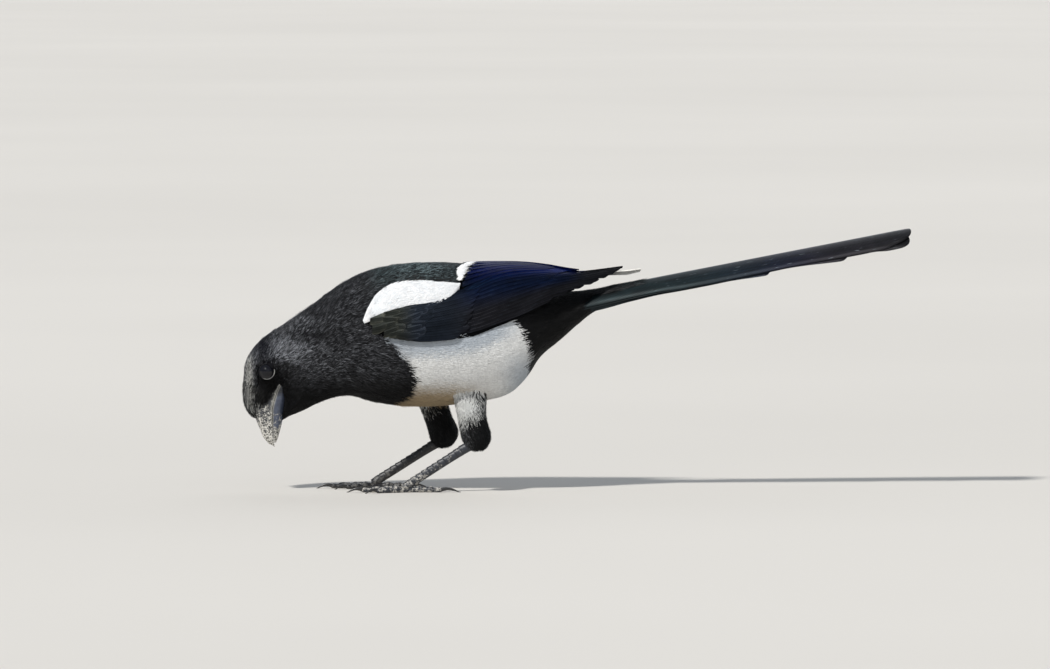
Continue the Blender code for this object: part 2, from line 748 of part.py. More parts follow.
def head_and_neck(black, horn, glass):
    """Head with its lids and bristles, the eyes in their sockets, the bill and the neck."""
    head = flesh("head", 0.0, NECK_FROM, 20)
    neck = flesh("neck", NECK_FROM + 0.02, TORSO_FROM - 0.02, 8)
    rim = head_half_width(*EYE_CENTRE) - 0.1
    deep = math.sqrt(EYE_BALL ** 2 - EYE_OPENING ** 2)
    lids, sockets = [], []
    for side, label in ((-1, "left"), (1, "right")):
        lids.append(torus("lid", (EYE_CENTRE[0], side * rim, EYE_CENTRE[1]),
                          EYE_OPENING + 0.3, LID))
        centre = (EYE_CENTRE[0], side * (rim - deep), EYE_CENTRE[1])
        sockets.append(ball("socket", centre, EYE_BALL + GAP, 8, 14))
        paint(ball("eye_" + label, centre, EYE_BALL - 0.15, 8, 14), glass)
    boolean(head, lids + bristles(-1) + bristles(1), "UNION")
    boolean(head, sockets, "DIFFERENCE")
    boolean(head, [bill_half("room", upper, 1.4 * GAP) for upper in (True, False)], "DIFFERENCE")
    boolean(head, [mouth_corner(-1), mouth_corner(1)], "DIFFERENCE")
    paint(head, black)
    paint(neck, black)
    paint(bill_half("bill_upper", True), horn)
    paint(bill_half("bill_lower", False), horn)


def torso(black, white):
    """Back, breast, belly and vent, parted by flat cuts, with room for the wings."""
    planes = {
        "waist": ((-90.0, 0.0, 112.0), (0.05, 0.0, 1.0)),
        "breast": ((-107.4, 0.0, 79.6), (0.87, 0.0, 0.49)),
        "vent": ((-34.5, 0.0, 92.5), (0.92, 0.0, 0.38)),
    }

    def side_of(thing, plane, beyond):
        """Keeps one side of a plane, half a gap away from it."""
        point, normal = (np.array(v) for v in planes[plane])
        normal = normal / np.linalg.norm(normal)
        sign = -1.0 if beyond else 1.0
        slice_off(thing, point - normal * sign * GAP / 2, sign * normal)

    plan = {
        "back": (("waist", True),),
        "breast": (("waist", False), ("breast", False)),
        "belly": (("waist", False), ("breast", True), ("vent", False)),
        "vent": (("waist", False), ("vent", True)),
    }
    for name, cuts in plan.items():
        piece = flesh(name, TORSO_FROM, len(RIBS) - 1.0, 24)
        for plane, beyond in cuts:
            side_of(piece, plane, beyond)
        rooms = [wing_slab("room", side, -WING_DEPTH - 3.2 * GAP, ROOM_TOP, GAP)
                 for side in (-1, 1)]
        if name != "vent":
            rooms += [shoulder_room(side) for side in (-1, 1)]
        for room in rooms:
            boolean(piece, [room], "DIFFERENCE")
        paint(piece, white if name == "belly" else black)


def build():
    clear_scene()
    black = finish("black plumage", (0.008, 0.008, 0.010), 0.6)
    white = finish("white plumage", (0.85, 0.85, 0.82), 0.8)
    blue = finish("blue black flight feathers", (0.010, 0.014, 0.045), 0.35)
    green = finish("green black tail feathers", (0.010, 0.028, 0.028), 0.35)
    horn = finish("black horn", (0.03, 0.03, 0.035), 0.35)
    glass = finish("dark eye", (0.004, 0.003, 0.003), 0.05)
    skin = finish("black scaly skin", (0.02, 0.02, 0.024), 0.5)
    head_and_neck(black, horn, glass)
    torso(black, white)
    for side, label in ((-1, "left"), (1, "right")):
        folded = wing(side, label)
        boolean(folded, [shoulder_room(side)], "DIFFERENCE")
        paint(folded, blue)
        paint(shoulder(side, label), white)
        paint(thigh(label), black)
        paint(shank(label), skin)
        paint(foot(label), skin)
    paint(tail(), green)


build()
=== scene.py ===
# %% [markdown]
# # A magpie at life size, feather by feather
#
# The bird stands with its head bent down and its long tail raised behind it. This file starts
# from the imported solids, keeps every main form where they have it, and dresses it: one skin
# under a coat of small feathers, then the flight feathers, the tail, the bill, the eyes and
# the bare legs. All the lengths below are millimetres unless a comment says otherwise.

import math

import bpy
import numpy as np
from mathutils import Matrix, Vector


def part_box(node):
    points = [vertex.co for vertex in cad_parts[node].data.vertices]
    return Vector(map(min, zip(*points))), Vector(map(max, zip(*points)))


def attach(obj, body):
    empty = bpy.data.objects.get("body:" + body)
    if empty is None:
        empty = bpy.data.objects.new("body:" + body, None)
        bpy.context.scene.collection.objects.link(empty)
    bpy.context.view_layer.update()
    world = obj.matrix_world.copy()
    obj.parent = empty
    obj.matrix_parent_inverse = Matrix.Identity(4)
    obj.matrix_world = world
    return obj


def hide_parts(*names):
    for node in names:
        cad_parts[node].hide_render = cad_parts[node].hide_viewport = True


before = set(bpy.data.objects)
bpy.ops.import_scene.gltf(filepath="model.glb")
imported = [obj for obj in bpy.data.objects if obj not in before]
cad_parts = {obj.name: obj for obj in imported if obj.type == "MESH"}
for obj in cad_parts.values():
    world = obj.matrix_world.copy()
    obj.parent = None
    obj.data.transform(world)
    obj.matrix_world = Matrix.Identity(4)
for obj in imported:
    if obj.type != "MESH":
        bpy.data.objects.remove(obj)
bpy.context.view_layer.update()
MM = 0.001
print("solids:", ", ".join(sorted(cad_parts)))

# %% [markdown]
# ## Camera, floor and light
#
# The photograph was taken from far off, so that the bird is seen almost without perspective,
# from its left and a few degrees above. A long lens at six metres does the same. One pixel of
# the photograph covers 0.61 mm of the bird.

# %% Camera
PIXEL = 0.61
FRAME_PIXELS = 1050
AWAY = 6000.0
ABOVE = math.radians(3.0)
AIM = (-32.0, 0.0, 95.2)

camera_data = bpy.data.cameras.new("long_lens")
camera_data.sensor_width = 36.0
camera_data.lens = camera_data.sensor_width * AWAY / (PIXEL * FRAME_PIXELS)
camera_data.clip_end = 200.0
camera = bpy.data.objects.new("camera", camera_data)
bpy.context.scene.collection.objects.link(camera)
camera.location = MM * (Vector(AIM) + AWAY * Vector((0.0, -math.cos(ABOVE), math.sin(ABOVE))))
camera.rotation_euler = (math.pi / 2 - ABOVE, 0.0, 0.0)
bpy.context.scene.camera = camera
bpy.context.scene.view_settings.view_transform = "Standard"
print("lens", round(camera_data.lens), "mm")


# %% [markdown]
# ## Colours and nodes
#
# A colour is written as the hex value that a screen shows, and a shader wants light that adds
# up, so one function turns the first into the second. A second function adds a node, sets it
# and links it in one line, which keeps each material readable.

# %% Colours and nodes
def linear(hex_colour):
    """Linear RGBA of a colour written as sRGB hex."""
    parts = [int(hex_colour[i:i + 2], 16) / 255 for i in (1, 3, 5)]
    light = tuple(c / 12.92 if c <= 0.04045 else ((c + 0.055) / 1.055) ** 2.4 for c in parts)
    return light + (1.0,)


def node(tree, kind, inputs=None, stops=None, **settings):
    """Adds a node: inputs maps a socket's name or number to a value or to an output."""
    made = tree.nodes.new("ShaderNode" + kind)
    for key, value in settings.items():
        setattr(made, key, value)
    for place, (position, colour) in enumerate(stops or ()):
        ramp = made.color_ramp.elements
        step = ramp[place] if place < 2 else ramp.new(position)
        step.position, step.color = position, colour
    for key, value in (inputs or {}).items():
        if isinstance(value, bpy.types.NodeSocket):
            tree.links.new(value, made.inputs[key])
        else:
            made.inputs[key].default_value = value
    return made


def material(name, **shader):
    """New material with its main shader set, and the tree that it sits in."""
    made = bpy.data.materials.new(name)
    made.use_nodes = True
    main = made.node_tree.nodes["Principled BSDF"]
    for key, value in shader.items():
        main.inputs[key.replace("_", " ")].default_value = value
    return made, made.node_tree, main


def plug(tree, shader, **outputs):
    """Puts the outputs of nodes into sockets of the main shader."""
    for key, value in outputs.items():
        tree.links.new(value, shader.inputs[key.replace("_", " ")])


def on_own_colour(tree, pattern):
    """The colour that a mesh carries on its own points, multiplied by a pattern."""
    own = node(tree, "Attribute", attribute_name="plumage")
    return node(tree, "Mix", {0: 1.0, 6: own.outputs["Color"], 7: pattern},
                data_type="RGBA", blend_type="MULTIPLY").outputs[2]


def grey(value):
    return (value, value, value, 1.0)


def cells(size):
    """Scale of a pattern in object space whose cells are so many millimetres wide."""
    return 1.0 / (MM * size)


print("a cell of one millimetre is a scale of", round(cells(1.0)))

# %% [markdown]
# The floor is plain pale studio paper. It is sixty metres wide, because a camera only three
# degrees above it sees a long way, and a smaller one would show its edge. A faint mottle, one
# and a half metres wide, keeps it from being one flat colour.

# %% Floor
FLOOR_SIDE, MOTTLE = 60_000.0, 1500.0
# Studio paper is pressed fibre without a coating, so it is matt and even.
paper, tree, shader = material("Matte pale paper", Roughness=0.9)
mottle = node(tree, "TexNoise", {"Scale": FLOOR_SIDE / MOTTLE, "Detail": 3.0})
tint = node(tree, "ValToRGB", {0: mottle.outputs[0]},
            stops=((0.3, linear("#d0ccc5")), (0.7, linear("#d6d2cb"))))
plug(tree, shader, Base_Color=tint.outputs[0])

floor_mesh = bpy.data.meshes.new("floor")
corner = MM * FLOOR_SIDE / 2
floor_mesh.from_pydata(
    [(x * corner, y * corner, 0.0) for x, y in ((-1, -1), (1, -1), (1, 1), (-1, 1))], [],
    [(0, 1, 2, 3)])
floor = bpy.data.objects.new("floor", floor_mesh)
floor.data.materials.append(paper)
bpy.context.scene.collection.objects.link(floor)
print("floor", round(MM * FLOOR_SIDE), "m wide")

# %% [markdown]
# The photograph's daylight comes from the upper left, in front of the bird. A narrow key lamp
# stands for it, with a wide fill from the right, a wide lamp behind, and a pale sky all round.

# %% Light
LAMPS = (
    # name, where it shines from, strength, width of the light in degrees, colour
    ("key", (-0.48, -0.66, 0.90), 3.2, 5.0, (1.0, 0.98, 0.95)),
    ("fill", (0.30, -0.90, 0.30), 0.25, 60.0, (0.90, 0.95, 1.0)),
    ("back", (0.2, 0.9, 0.6), 0.5, 50.0, (0.95, 0.97, 1.0)),
)
for name, direction, strength, width, colour in LAMPS:
    lamp = bpy.data.lights.new(name, "SUN")
    lamp.energy, lamp.angle, lamp.color = strength, math.radians(width), colour
    holder = bpy.data.objects.new(name, lamp)
    holder.rotation_euler = Vector(direction).to_track_quat("Z", "Y").to_euler()
    bpy.context.scene.collection.objects.link(holder)
world = bpy.data.worlds.new("studio")
world.use_nodes = True
sky = world.node_tree.nodes["Background"].inputs
sky["Color"].default_value = (0.80, 0.88, 1.0, 1.0)
sky["Strength"].default_value = 0.36
bpy.context.scene.world = world
print(len(LAMPS), "lamps")


# %% [markdown]
# ## Curves, surfaces and meshes
#
# Every form here is a surface that a function gives: where along it, how far round it, and how
# high above it. The skin and each feather are then drawn on the same surface, so a feather
# always lies on the body under it. A Catmull-Rom curve passes through the measured points.

# %% Curves
def curve(rows, at):
    """Catmull-Rom curve through rows of values, read at many places counted in rows."""
    rows = np.asarray(rows, float)
    if rows.ndim == 1:
        return curve(rows[:, None], at)[..., 0]
    last = len(rows) - 1
    at = np.clip(np.asarray(at, float), 0.0, last)
    i = np.minimum(at.astype(int), last - 1)
    t = (at - i)[..., None]
    before, a, b, after = (rows[np.clip(i + k, 0, last)] for k in (-1, 0, 1, 2))
    return 0.5 * (2 * a + (b - before) * t + (2 * before - 5 * a + 4 * b - after) * t ** 2
                  + (3 * a - before - 3 * b + after) * t ** 3)


def table(at, places, values):
    """Smooth value at a place, from a table of rising places and their values."""
    return curve(values, np.interp(at, places, np.arange(len(places))))


def smooth(t):
    t = np.clip(t, 0.0, 1.0)
    return t * t * (3 - 2 * t)


def between(value, start, end):
    """0 before start, 1 after end, and smooth in between."""
    return smooth((value - start) / (end - start))


# %% Meshes
def piece(name, points, faces, materials, which=None, colours=None, maps=None, sharp=50.0):
    """Mesh object from arrays: points in millimetres, faces as rows of point numbers.
    It is shaded smooth up to the angle sharp, or flat if that is None."""
    mesh = bpy.data.meshes.new(name)
    points, faces = np.asarray(points, float), np.asarray(faces, np.int32)
    sides = faces.shape[1]
    mesh.vertices.add(len(points))
    mesh.vertices.foreach_set("co", (MM * points).astype(np.float32).ravel())
    mesh.loops.add(faces.size)
    mesh.loops.foreach_set("vertex_index", faces.ravel())
    mesh.polygons.add(len(faces))
    mesh.polygons.foreach_set("loop_start", np.arange(0, faces.size, sides, dtype=np.int32))
    mesh.polygons.foreach_set("use_smooth", np.full(len(faces), sharp is not None))
    if which is not None:
        mesh.polygons.foreach_set("material_index", np.asarray(which, np.int32))
    for map_name, flat in (maps or {}).items():
        layer = mesh.uv_layers.new(name=map_name)
        layer.data.foreach_set("uv", flat[faces.ravel()].astype(np.float32).ravel())
    if colours is not None:
        shade = mesh.color_attributes.new("plumage", "FLOAT_COLOR", "POINT")
        shade.data.foreach_set("color", opaque(colours).astype(np.float32).ravel())
    mesh.update(calc_edges=True)
    mesh.validate()
    for stuff in materials:
        mesh.materials.append(stuff)
    if sharp:
        mesh.set_sharp_from_angle(angle=math.radians(sharp))
    made = bpy.data.objects.new(name, mesh)
    bpy.context.scene.collection.objects.link(made)
    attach(made, "root")
    print(f"{name}: {len(faces) * (sides - 2)} triangles")
    return made


def opaque(colours):
    return np.concatenate([colours, np.ones((len(colours), 1))], axis=1)


def colour_rows(*hexes):
    return np.array([linear(code)[:3] for code in hexes])


def closed_sheet(upper, lower):
    """Points and four-sided faces of a closed form between two grids of points."""
    rows, columns = upper.shape[:2]
    index = np.arange(rows * columns).reshape(rows, columns)
    quads = np.stack([index[:-1, :-1], index[:-1, 1:], index[1:, 1:], index[1:, :-1]], -1)
    quads = quads.reshape(-1, 4)
    rim = np.concatenate([index[0, :-1], index[:-1, -1], index[-1, :0:-1], index[:0:-1, 0]])
    ahead = np.roll(rim, -1)
    under = rows * columns
    walls = np.stack([rim, rim + under, ahead + under, ahead], -1)
    faces = np.concatenate([quads, (quads + under)[:, ::-1], walls])
    return np.concatenate([upper.reshape(-1, 3), lower.reshape(-1, 3)]), faces


def closed_tube(rings):
    """Points and four-sided faces of a tube through rings of points, closed to a point."""
    count, sides = rings.shape[:2]
    index = np.arange(count * sides).reshape(count, sides)
    turned = np.roll(index, -1, axis=1)
    faces = np.stack([index[:-1], turned[:-1], turned[1:], index[1:]], -1).reshape(-1, 4)
    points = rings.reshape(-1, 3)
    ends = np.stack([rings[0].mean(axis=0), rings[-1].mean(axis=0)])
    first, last = len(points), len(points) + 1
    half = sides // 2
    even = np.arange(0, sides, 2)
    odd, following = (even + 1) % sides, (even + 2) % sides
    start, end = index[0], index[-1]
    caps = [np.stack([np.full(half, first), start[following], start[odd], start[even]], -1),
            np.stack([np.full(half, last), end[even], end[odd], end[following]], -1)]
    return np.concatenate([points, ends]), np.concatenate([faces, *caps])


def outwards(points, faces):
    """The faces, turned round if they enclose a negative volume."""
    volume = 0.0
    for corners in ((0, 1, 2), (0, 2, 3))[:faces.shape[1] - 2]:
        a, b, c = (points[faces[:, i]] for i in corners)
        volume += np.einsum("ij,ij->i", a, np.cross(b, c)).sum()
    return faces if volume > 0 else faces[:, ::-1]


# %% [markdown]
# ## Where the bill is bare
#
# The face narrows to the bill, and its feathers end along a line that runs from the forehead
# back to the corner of the mouth and down the chin. So the bill's outlines come before the
# body's: the face's surface needs to know how far it is from that line.

# %% Bill outlines
# (height, x) along each edge, from the tip up into the head, and (height, half width).
CULMEN = ((26.8, -185.2), (28.6, -188.6), (32.5, -191.7), (38.0, -194.0), (43.6, -196.3),
          (50.0, -197.9), (60.0, -197.0), (66.0, -194.0))
TOMIUM = ((26.8, -184.6), (28.6, -185.1), (32.5, -185.6), (38.0, -185.9), (43.6, -186.0),
          (50.0, -186.0), (60.0, -183.4), (66.0, -181.0))
GONYS = ((29.2, -183.8), (32.5, -182.6), (38.0, -181.1), (43.6, -179.8), (50.0, -178.4),
         (60.0, -176.5), (66.0, -175.5))
UPPER_WIDTH = ((26.8, 0.5), (28.6, 1.7), (32.5, 3.3), (38.0, 4.7), (43.6, 5.8), (50.0, 6.6),
               (60.0, 7.0), (66.0, 7.4))
LOWER_WIDTH = ((29.2, 0.7), (32.5, 2.7), (38.0, 4.1), (43.6, 5.2), (50.0, 6.2), (60.0, 6.8),
               (66.0, 7.2))
# Height of each half's tip, its outer edge, its half widths, and its gap from the mouth's line.
HALVES = {"upper": (26.8, CULMEN, UPPER_WIDTH, 0.15), "lower": (29.2, GONYS, LOWER_WIDTH, -0.15)}
# The line round the bare bill as (x, z), where the face's feathers end.
BARE_BILL = np.array((
    (-195.8, 43.3), (-196.1, 50.0), (-192.5, 53.7), (-188.8, 56.1), (-185.7, 59.2),
    (-182.7, 63.4), (-180.9, 64.7), (-178.7, 57.3), (-178.1, 54.9), (-178.7, 48.8),
    (-179.7, 42.7), (-181.0, 36.0), (-194.0, 36.0)))
# How steeply the face widens away from that line, and over how far its forehead rounds off.
FACE_SLOPE, FOREHEAD_ROUND = 0.62, 6.0


def bill_profile(z, half):
    """Inner edge, outer edge and half width of one half of the bill at height z."""
    _, outer, width, apart = HALVES[half]
    inner = table(z, *zip(*TOMIUM)) - apart
    return inner, table(z, *zip(*outer)), table(z, *zip(*width))


def bill_side(x, z):
    """How far out the bill's side stands where the side view shows the point (x, z)."""
    found = 0.0 * (x + z)
    for half in HALVES:
        inner, outer, width = bill_profile(z, half)
        share = np.clip((x - inner) / (outer - inner), -1.0, 1.0)
        side = width * np.sqrt(1.0 - np.clip(np.abs(share), 0.0, 1.0) ** 2.5)
        found = np.where(share >= 0.0, np.maximum(found, side), found)
    return found


def bare_distance(x, z):
    """How far the side view's point (x, z) lies outside the bare bill, negative inside."""
    near, inside = np.full(np.shape(x), 1e9), np.zeros(np.shape(x), bool)
    for (ax, az), (bx, bz) in zip(BARE_BILL, np.roll(BARE_BILL, -1, axis=0)):
        run, rise = bx - ax, bz - az
        t = np.clip(((x - ax) * run + (z - az) * rise) / (run ** 2 + rise ** 2), 0.0, 1.0)
        near = np.minimum(near, np.hypot(x - ax - run * t, z - az - rise * t))
        inside ^= ((az > z) != (bz > z)) & (x < ax + (z - az) * run / (rise or 1e-9))
    return np.where(inside, -near, near)


def face_limit(x, z):
    """Most that the face is wide at the side view's point (x, z), so that the bill is bare."""
    away = bare_distance(x, z)
    width = table(z, *zip(*UPPER_WIDTH))
    behind = np.clip((x - table(z, *zip(*CULMEN))) / FOREHEAD_ROUND, 0.0, 1.0)
    outside = width * np.sqrt(behind) + 0.3 + FACE_SLOPE * away
    return np.where(away < 0.0, np.maximum(0.5 * width + away, 0.6), outside)


# %% [markdown]
# ## The body's surface
#
# A bird's body under its feathers is one smooth form from the bill to the tail. It is drawn
# as ribs: the point on the forehead, crown or back, the point on the chin, breast or belly,
# and half the width. The last two ribs run out over the tail's root, for the feathers that
# lie there.

# %% Body surface
RIBS = np.array((
    (-195.5, 43.3, -180.6, 41.5, 4.6), (-200.4, 46.7, -177.4, 44.5, 6.0),
    (-203.6, 54.9, -172.9, 46.6, 8.6), (-203.6, 67.1, -165.6, 49.7, 13.4),
    (-201.6, 80.5, -159.8, 52.8, 16.4), (-192.2, 92.6, -154.3, 55.0, 17.2),
    (-177.2, 102.8, -148.8, 56.9, 18.0), (-161.3, 113.8, -143.0, 57.9, 20.4),
    (-146.1, 124.9, -136.3, 57.8, 24.6), (-130.2, 133.3, -127.2, 54.9, 29.8),
    (-111.3, 137.7, -113.8, 52.5, 34.2), (-90.0, 139.4, -94.9, 51.2, 36.4),
    (-68.6, 138.4, -74.7, 52.5, 36.2), (-49.1, 134.6, -56.4, 54.9, 34.0),
    (-33.2, 129.2, -41.2, 59.5, 30.0), (-21.0, 125.0, -30.8, 69.5, 25.0),
    (-11.9, 122.4, -22.3, 82.0, 20.6), (-2.7, 121.6, -10.1, 92.4, 16.4),
    (7.6, 122.6, 2.1, 103.1, 12.6), (13.9, 123.8, 11.3, 109.8, 10.4),
    (28.0, 126.6, 27.0, 115.6, 9.4), (48.0, 130.6, 47.0, 121.2, 8.6),
))
LAST_RIB = len(RIBS) - 1.0
# Where the skin ends over the tail's root, in ribs, and where the face's narrowing stops.
TAIL_RIB = 20.8
FACE_END = -160.0
# 2 would make each rib an ellipse, and more makes it fuller.
SQUARENESS = 2.15


def body(u, turn, lift=0.0):
    """Point of the body: u in ribs from the bill, turn from the top, right side positive."""
    row = curve(RIBS, u)
    back, front, half = row[..., 0:2], row[..., 2:4], row[..., 4]
    middle, span = (back + front) / 2, back - front
    tall = np.linalg.norm(span, axis=-1) / 2
    up = span / (2 * tall)[..., None]
    c, s = np.cos(turn), np.sin(turn)
    high = np.sign(c) * np.abs(c) ** (2 / SQUARENESS)
    wide = np.abs(s) ** (2 / SQUARENESS)
    x, z = (middle[..., i] + up[..., i] * tall * high for i in (0, 1))
    narrow = np.clip(half * wide - face_limit(x, z), 0.0, None) if np.any(x < FACE_END) else 0.0
    return np.stack([x + up[..., 0] * lift * high,
                     np.sign(s) * ((half + lift) * wide - narrow),
                     z + up[..., 1] * lift * high], -1)


# %% [markdown]
# The folded wings make a roof over the back: a ridge, a lower edge and a half width, each
# read along the bird. The same roof tells where the small feathers stop, because none grow
# under a wing where nobody sees them.

# %% Wing roof
# The ridge, the lower edge and the half width at each x, then where the wing starts and how far
# its front bulges forward.
ROOF_X = (-135.0, -112.0, -90.0, -64.0, -49.0, -33.0, -17.0, -6.0, 5.0, 17.0, 30.0, 40.0)
ROOF_TOP = (132.0, 137.0, 138.6, 137.8, 137.8, 137.6, 136.4, 135.0, 134.8, 135.6, 136.6, 137.4)
ROOF_LOW = (97.0, 93.4, 92.2, 95.0, 101.0, 107.6, 116.6, 121.6, 125.4, 129.4, 133.6, 136.0)
ROOF_HALF = (29.6, 34.6, 36.8, 36.4, 34.4, 30.8, 25.6, 21.2, 16.4, 11.4, 6.6, 3.6)
WING_FRONT, WING_FRONT_LEAN = -116.0, 12.5
# The white shoulder's lower and upper edge as (x, z).
SHOULDER_LOW = ((-129.5, 103.4), (-118.0, 107.6), (-104.0, 111.4), (-89.0, 113.6),
                (-78.6, 117.4), (-71.0, 125.0))
SHOULDER_HIGH = ((-130.5, 105.4), (-124.0, 118.4), (-113.0, 126.4), (-99.0, 128.4),
                 (-85.0, 127.8), (-71.0, 126.4))
WING_CORE_END = -2.0


def roof_sizes(x):
    return tuple(table(x, ROOF_X, values) for values in (ROOF_TOP, ROOF_LOW, ROOF_HALF))


def roof(x, across, side, lift=0.0):
    """Point on the folded wings: across runs from the lower edge (0) to the ridge (1)."""
    top, low, half = roof_sizes(x)
    angle = across * math.pi / 2
    out = np.stack([np.cos(angle) / half, np.sin(angle) / (top - low)])
    out = out / np.linalg.norm(out, axis=0)
    return np.stack([x + 0.0 * across, side * (half * np.cos(angle) + lift * out[0]),
                     low + (top - low) * np.sin(angle) + lift * out[1]], -1)


def roof_span(x):
    top, low, half = roof_sizes(x)
    return math.pi / 2 * np.sqrt((half ** 2 + (top - low) ** 2) / 2)


def across_at(x, z):
    top, low, _ = roof_sizes(x)
    return 2 / math.pi * np.arcsin(np.clip((z - low) / (top - low), 0.0, 1.0))


def wing_top(x):
    """How far up the roof the folded wing reaches before the shoulder feathers cover it."""
    return 0.46 + 0.52 * between(x, -80.0, -67.0)


def wing_front(across):
    lean = np.sin(math.pi * np.clip(across / wing_top(WING_FRONT) / 0.7, 0.0, 1.0))
    return WING_FRONT - WING_FRONT_LEAN * lean


def under_wing(points):
    """1 where a point of the body lies under a wing or a shoulder patch, and 0 elsewhere."""
    x, z = points[..., 0], points[..., 2]
    across = across_at(x, z)
    _, low, _ = roof_sizes(x)
    patch = across_at(x, table(x, *zip(*SHOULDER_HIGH))) * between(x, -131.0, -127.0)
    reach = np.maximum(wing_top(x), np.where(x < SHOULDER_HIGH[-1][0], patch, 0.0))
    inside = between(z, low + 0.5, low + 3.5) * between(reach + 0.03 - across, 0.0, 0.06)
    return inside * between(x, wing_front(across) - 1.0, wing_front(across) + 3.0)


# %% [markdown]
# ## Where the bird is white
#
# A magpie is black with a white belly and white shoulders. The black bib ends in a curved
# edge behind the breast, and the white ends again ahead of the black vent. The same function
# colours the skin and the feathers, so that no skin of the wrong colour shows between them.

# %% Markings
BIB_EDGE = ((50.0, -112.0), (53.5, -108.0), (57.8, -100.8), (67.1, -97.6), (74.4, -99.3),
            (81.7, -103.8), (89.1, -110.1), (95.2, -116.2))
VENT_EDGE = ((60.0, -30.0), (76.6, -29.3), (82.5, -28.2), (89.5, -30.0), (100.0, -34.0),
             (105.8, -40.0))
# The white runs on so far up under the folded wing.
WHITE_UNDER_WING = 6.0


def is_white(points, ragged=0.0):
    """True where the plumage is white; ragged moves the edges by so many millimetres."""
    x, z = points[..., 0] + ragged, points[..., 2]
    bib = table(z, *zip(*BIB_EDGE))
    vent = table(z, *zip(*VENT_EDGE))
    _, low, _ = roof_sizes(x)
    return (x > bib) & (x < vent) & (z < low + WHITE_UNDER_WING)


def blot(x, z, middle, half):
    """Soft round patch of the side view: 1 in its middle, fading to 0 outside."""
    return np.exp(-((x - middle[0]) / half[0]) ** 2 - ((z - middle[1]) / half[1]) ** 2)


def tinted(tone, other, share):
    """Colours moved from one tone towards another, by a share for each point."""
    return tone + (other - tone) * share[..., None]


# %% [markdown]
# The black isn't one black. The lore between the eye and the bill is velvet, the crown is a
# little blue and the back a little green. The neck and breast are painted a little lighter where
# the light falls on them, and the vent darker, as shade. The white is painted darker and cream
# low on the belly, as shade lit warm from the ground, and painted blue-grey as shade where the
# wing shades it and at the rear.

# %% Plumage colours
# Each is (middle, half size) of a soft patch of the side view.
CROWN, LORE = ((-191.0, 88.0), (8.0, 11.0)), ((-188.0, 65.0), (11.0, 11.0))


def plumage_colour(points, white):
    """Linear colour of each feather, by where it grows."""
    x, z = points[..., 0], points[..., 2]
    velvet, lit, crown, mantle = colour_rows("#08080a", "#131316", "#10111c", "#0f1113")
    # The neck and breast are painted a little lighter black where the light falls on them.
    dark = tinted(velvet, lit, between(z, 56.0, 84.0) * between(-x, 92.0, 104.0))
    dark = tinted(dark, crown, blot(x, z, *CROWN))
    dark = tinted(dark, velvet, blot(x, z, *LORE))
    dark = tinted(dark, mantle, between(z, 112.0, 124.0) * between(x, -145.0, -125.0))
    # The vent is painted darker, as the shade that the bird's own body casts there.
    vent = between(x, -40.0, -26.0) * between(-z, -124.0, -116.0)
    dark = dark * (1.0 - 0.55 * vent)[..., None]
    snow, shade, warm_shade = colour_rows("#f2f2f0", "#a9b4c0", "#a38e6c")
    _, low, _ = roof_sizes(x)
    # Painted shade: the white turns blue-grey below the wing's lower edge, where the wing shades
    # it.
    under_wing_shade = between(z, low - 13.0, low - 4.0) * between(-x, 28.0, 52.0)
    # Painted shade: low on the belly the white turns darker and cream, as shade lit warm from the
    # ground.
    low_belly_shade = between(-z, -70.0, -57.0) * between(-x, 50.0, 76.0)
    # Painted shade: the rear of the belly turns blue-grey.
    rear = between(x, -52.0, -32.0) * between(-z, -90.0, -70.0)
    light = tinted(snow, shade, 0.75 * under_wing_shade)
    light = tinted(light, warm_shade, 0.95 * low_belly_shade)
    light = tinted(light, shade, 0.75 * rear)
    return np.where(white[..., None], light, dark)


# %% [markdown]
# The light catches the tips of the black feathers, most of all on the ear, the forehead and the
# middle of the back. Those highlights are painted: each tuft there gets a few silver blades, and
# this says how many.

# %% Painted highlights on black barbs
# Soft patches where highlights are painted, as (strength, middle, half size): the ear, the cheek,
# the nape and the side of the forehead. Then those that stay dark, with fewer painted highlights:
# the crown, the lore, and a line above the ear. Last comes the middle of the back.
SHINING = ((2.0, (-176.5, 88.0), (11.0, 7.0)), (0.22, (-156.0, 78.0), (22.0, 12.0)),
           (0.40, (-171.0, 103.0), (12.0, 5.0)), (0.40, (-197.0, 83.0), (4.0, 7.0)))
DULL = ((0.9, (-191.0, 89.0), (5.0, 8.0)), (0.97, (-187.5, 65.0), (11.5, 12.0)))
EAR_LINE, BACK_GLINT = ((-165.0, 95.0), (16.0, 3.5)), ((-95.0, 137.0), (13.0, 4.0))
MOST_HIGHLIGHT = 4.0


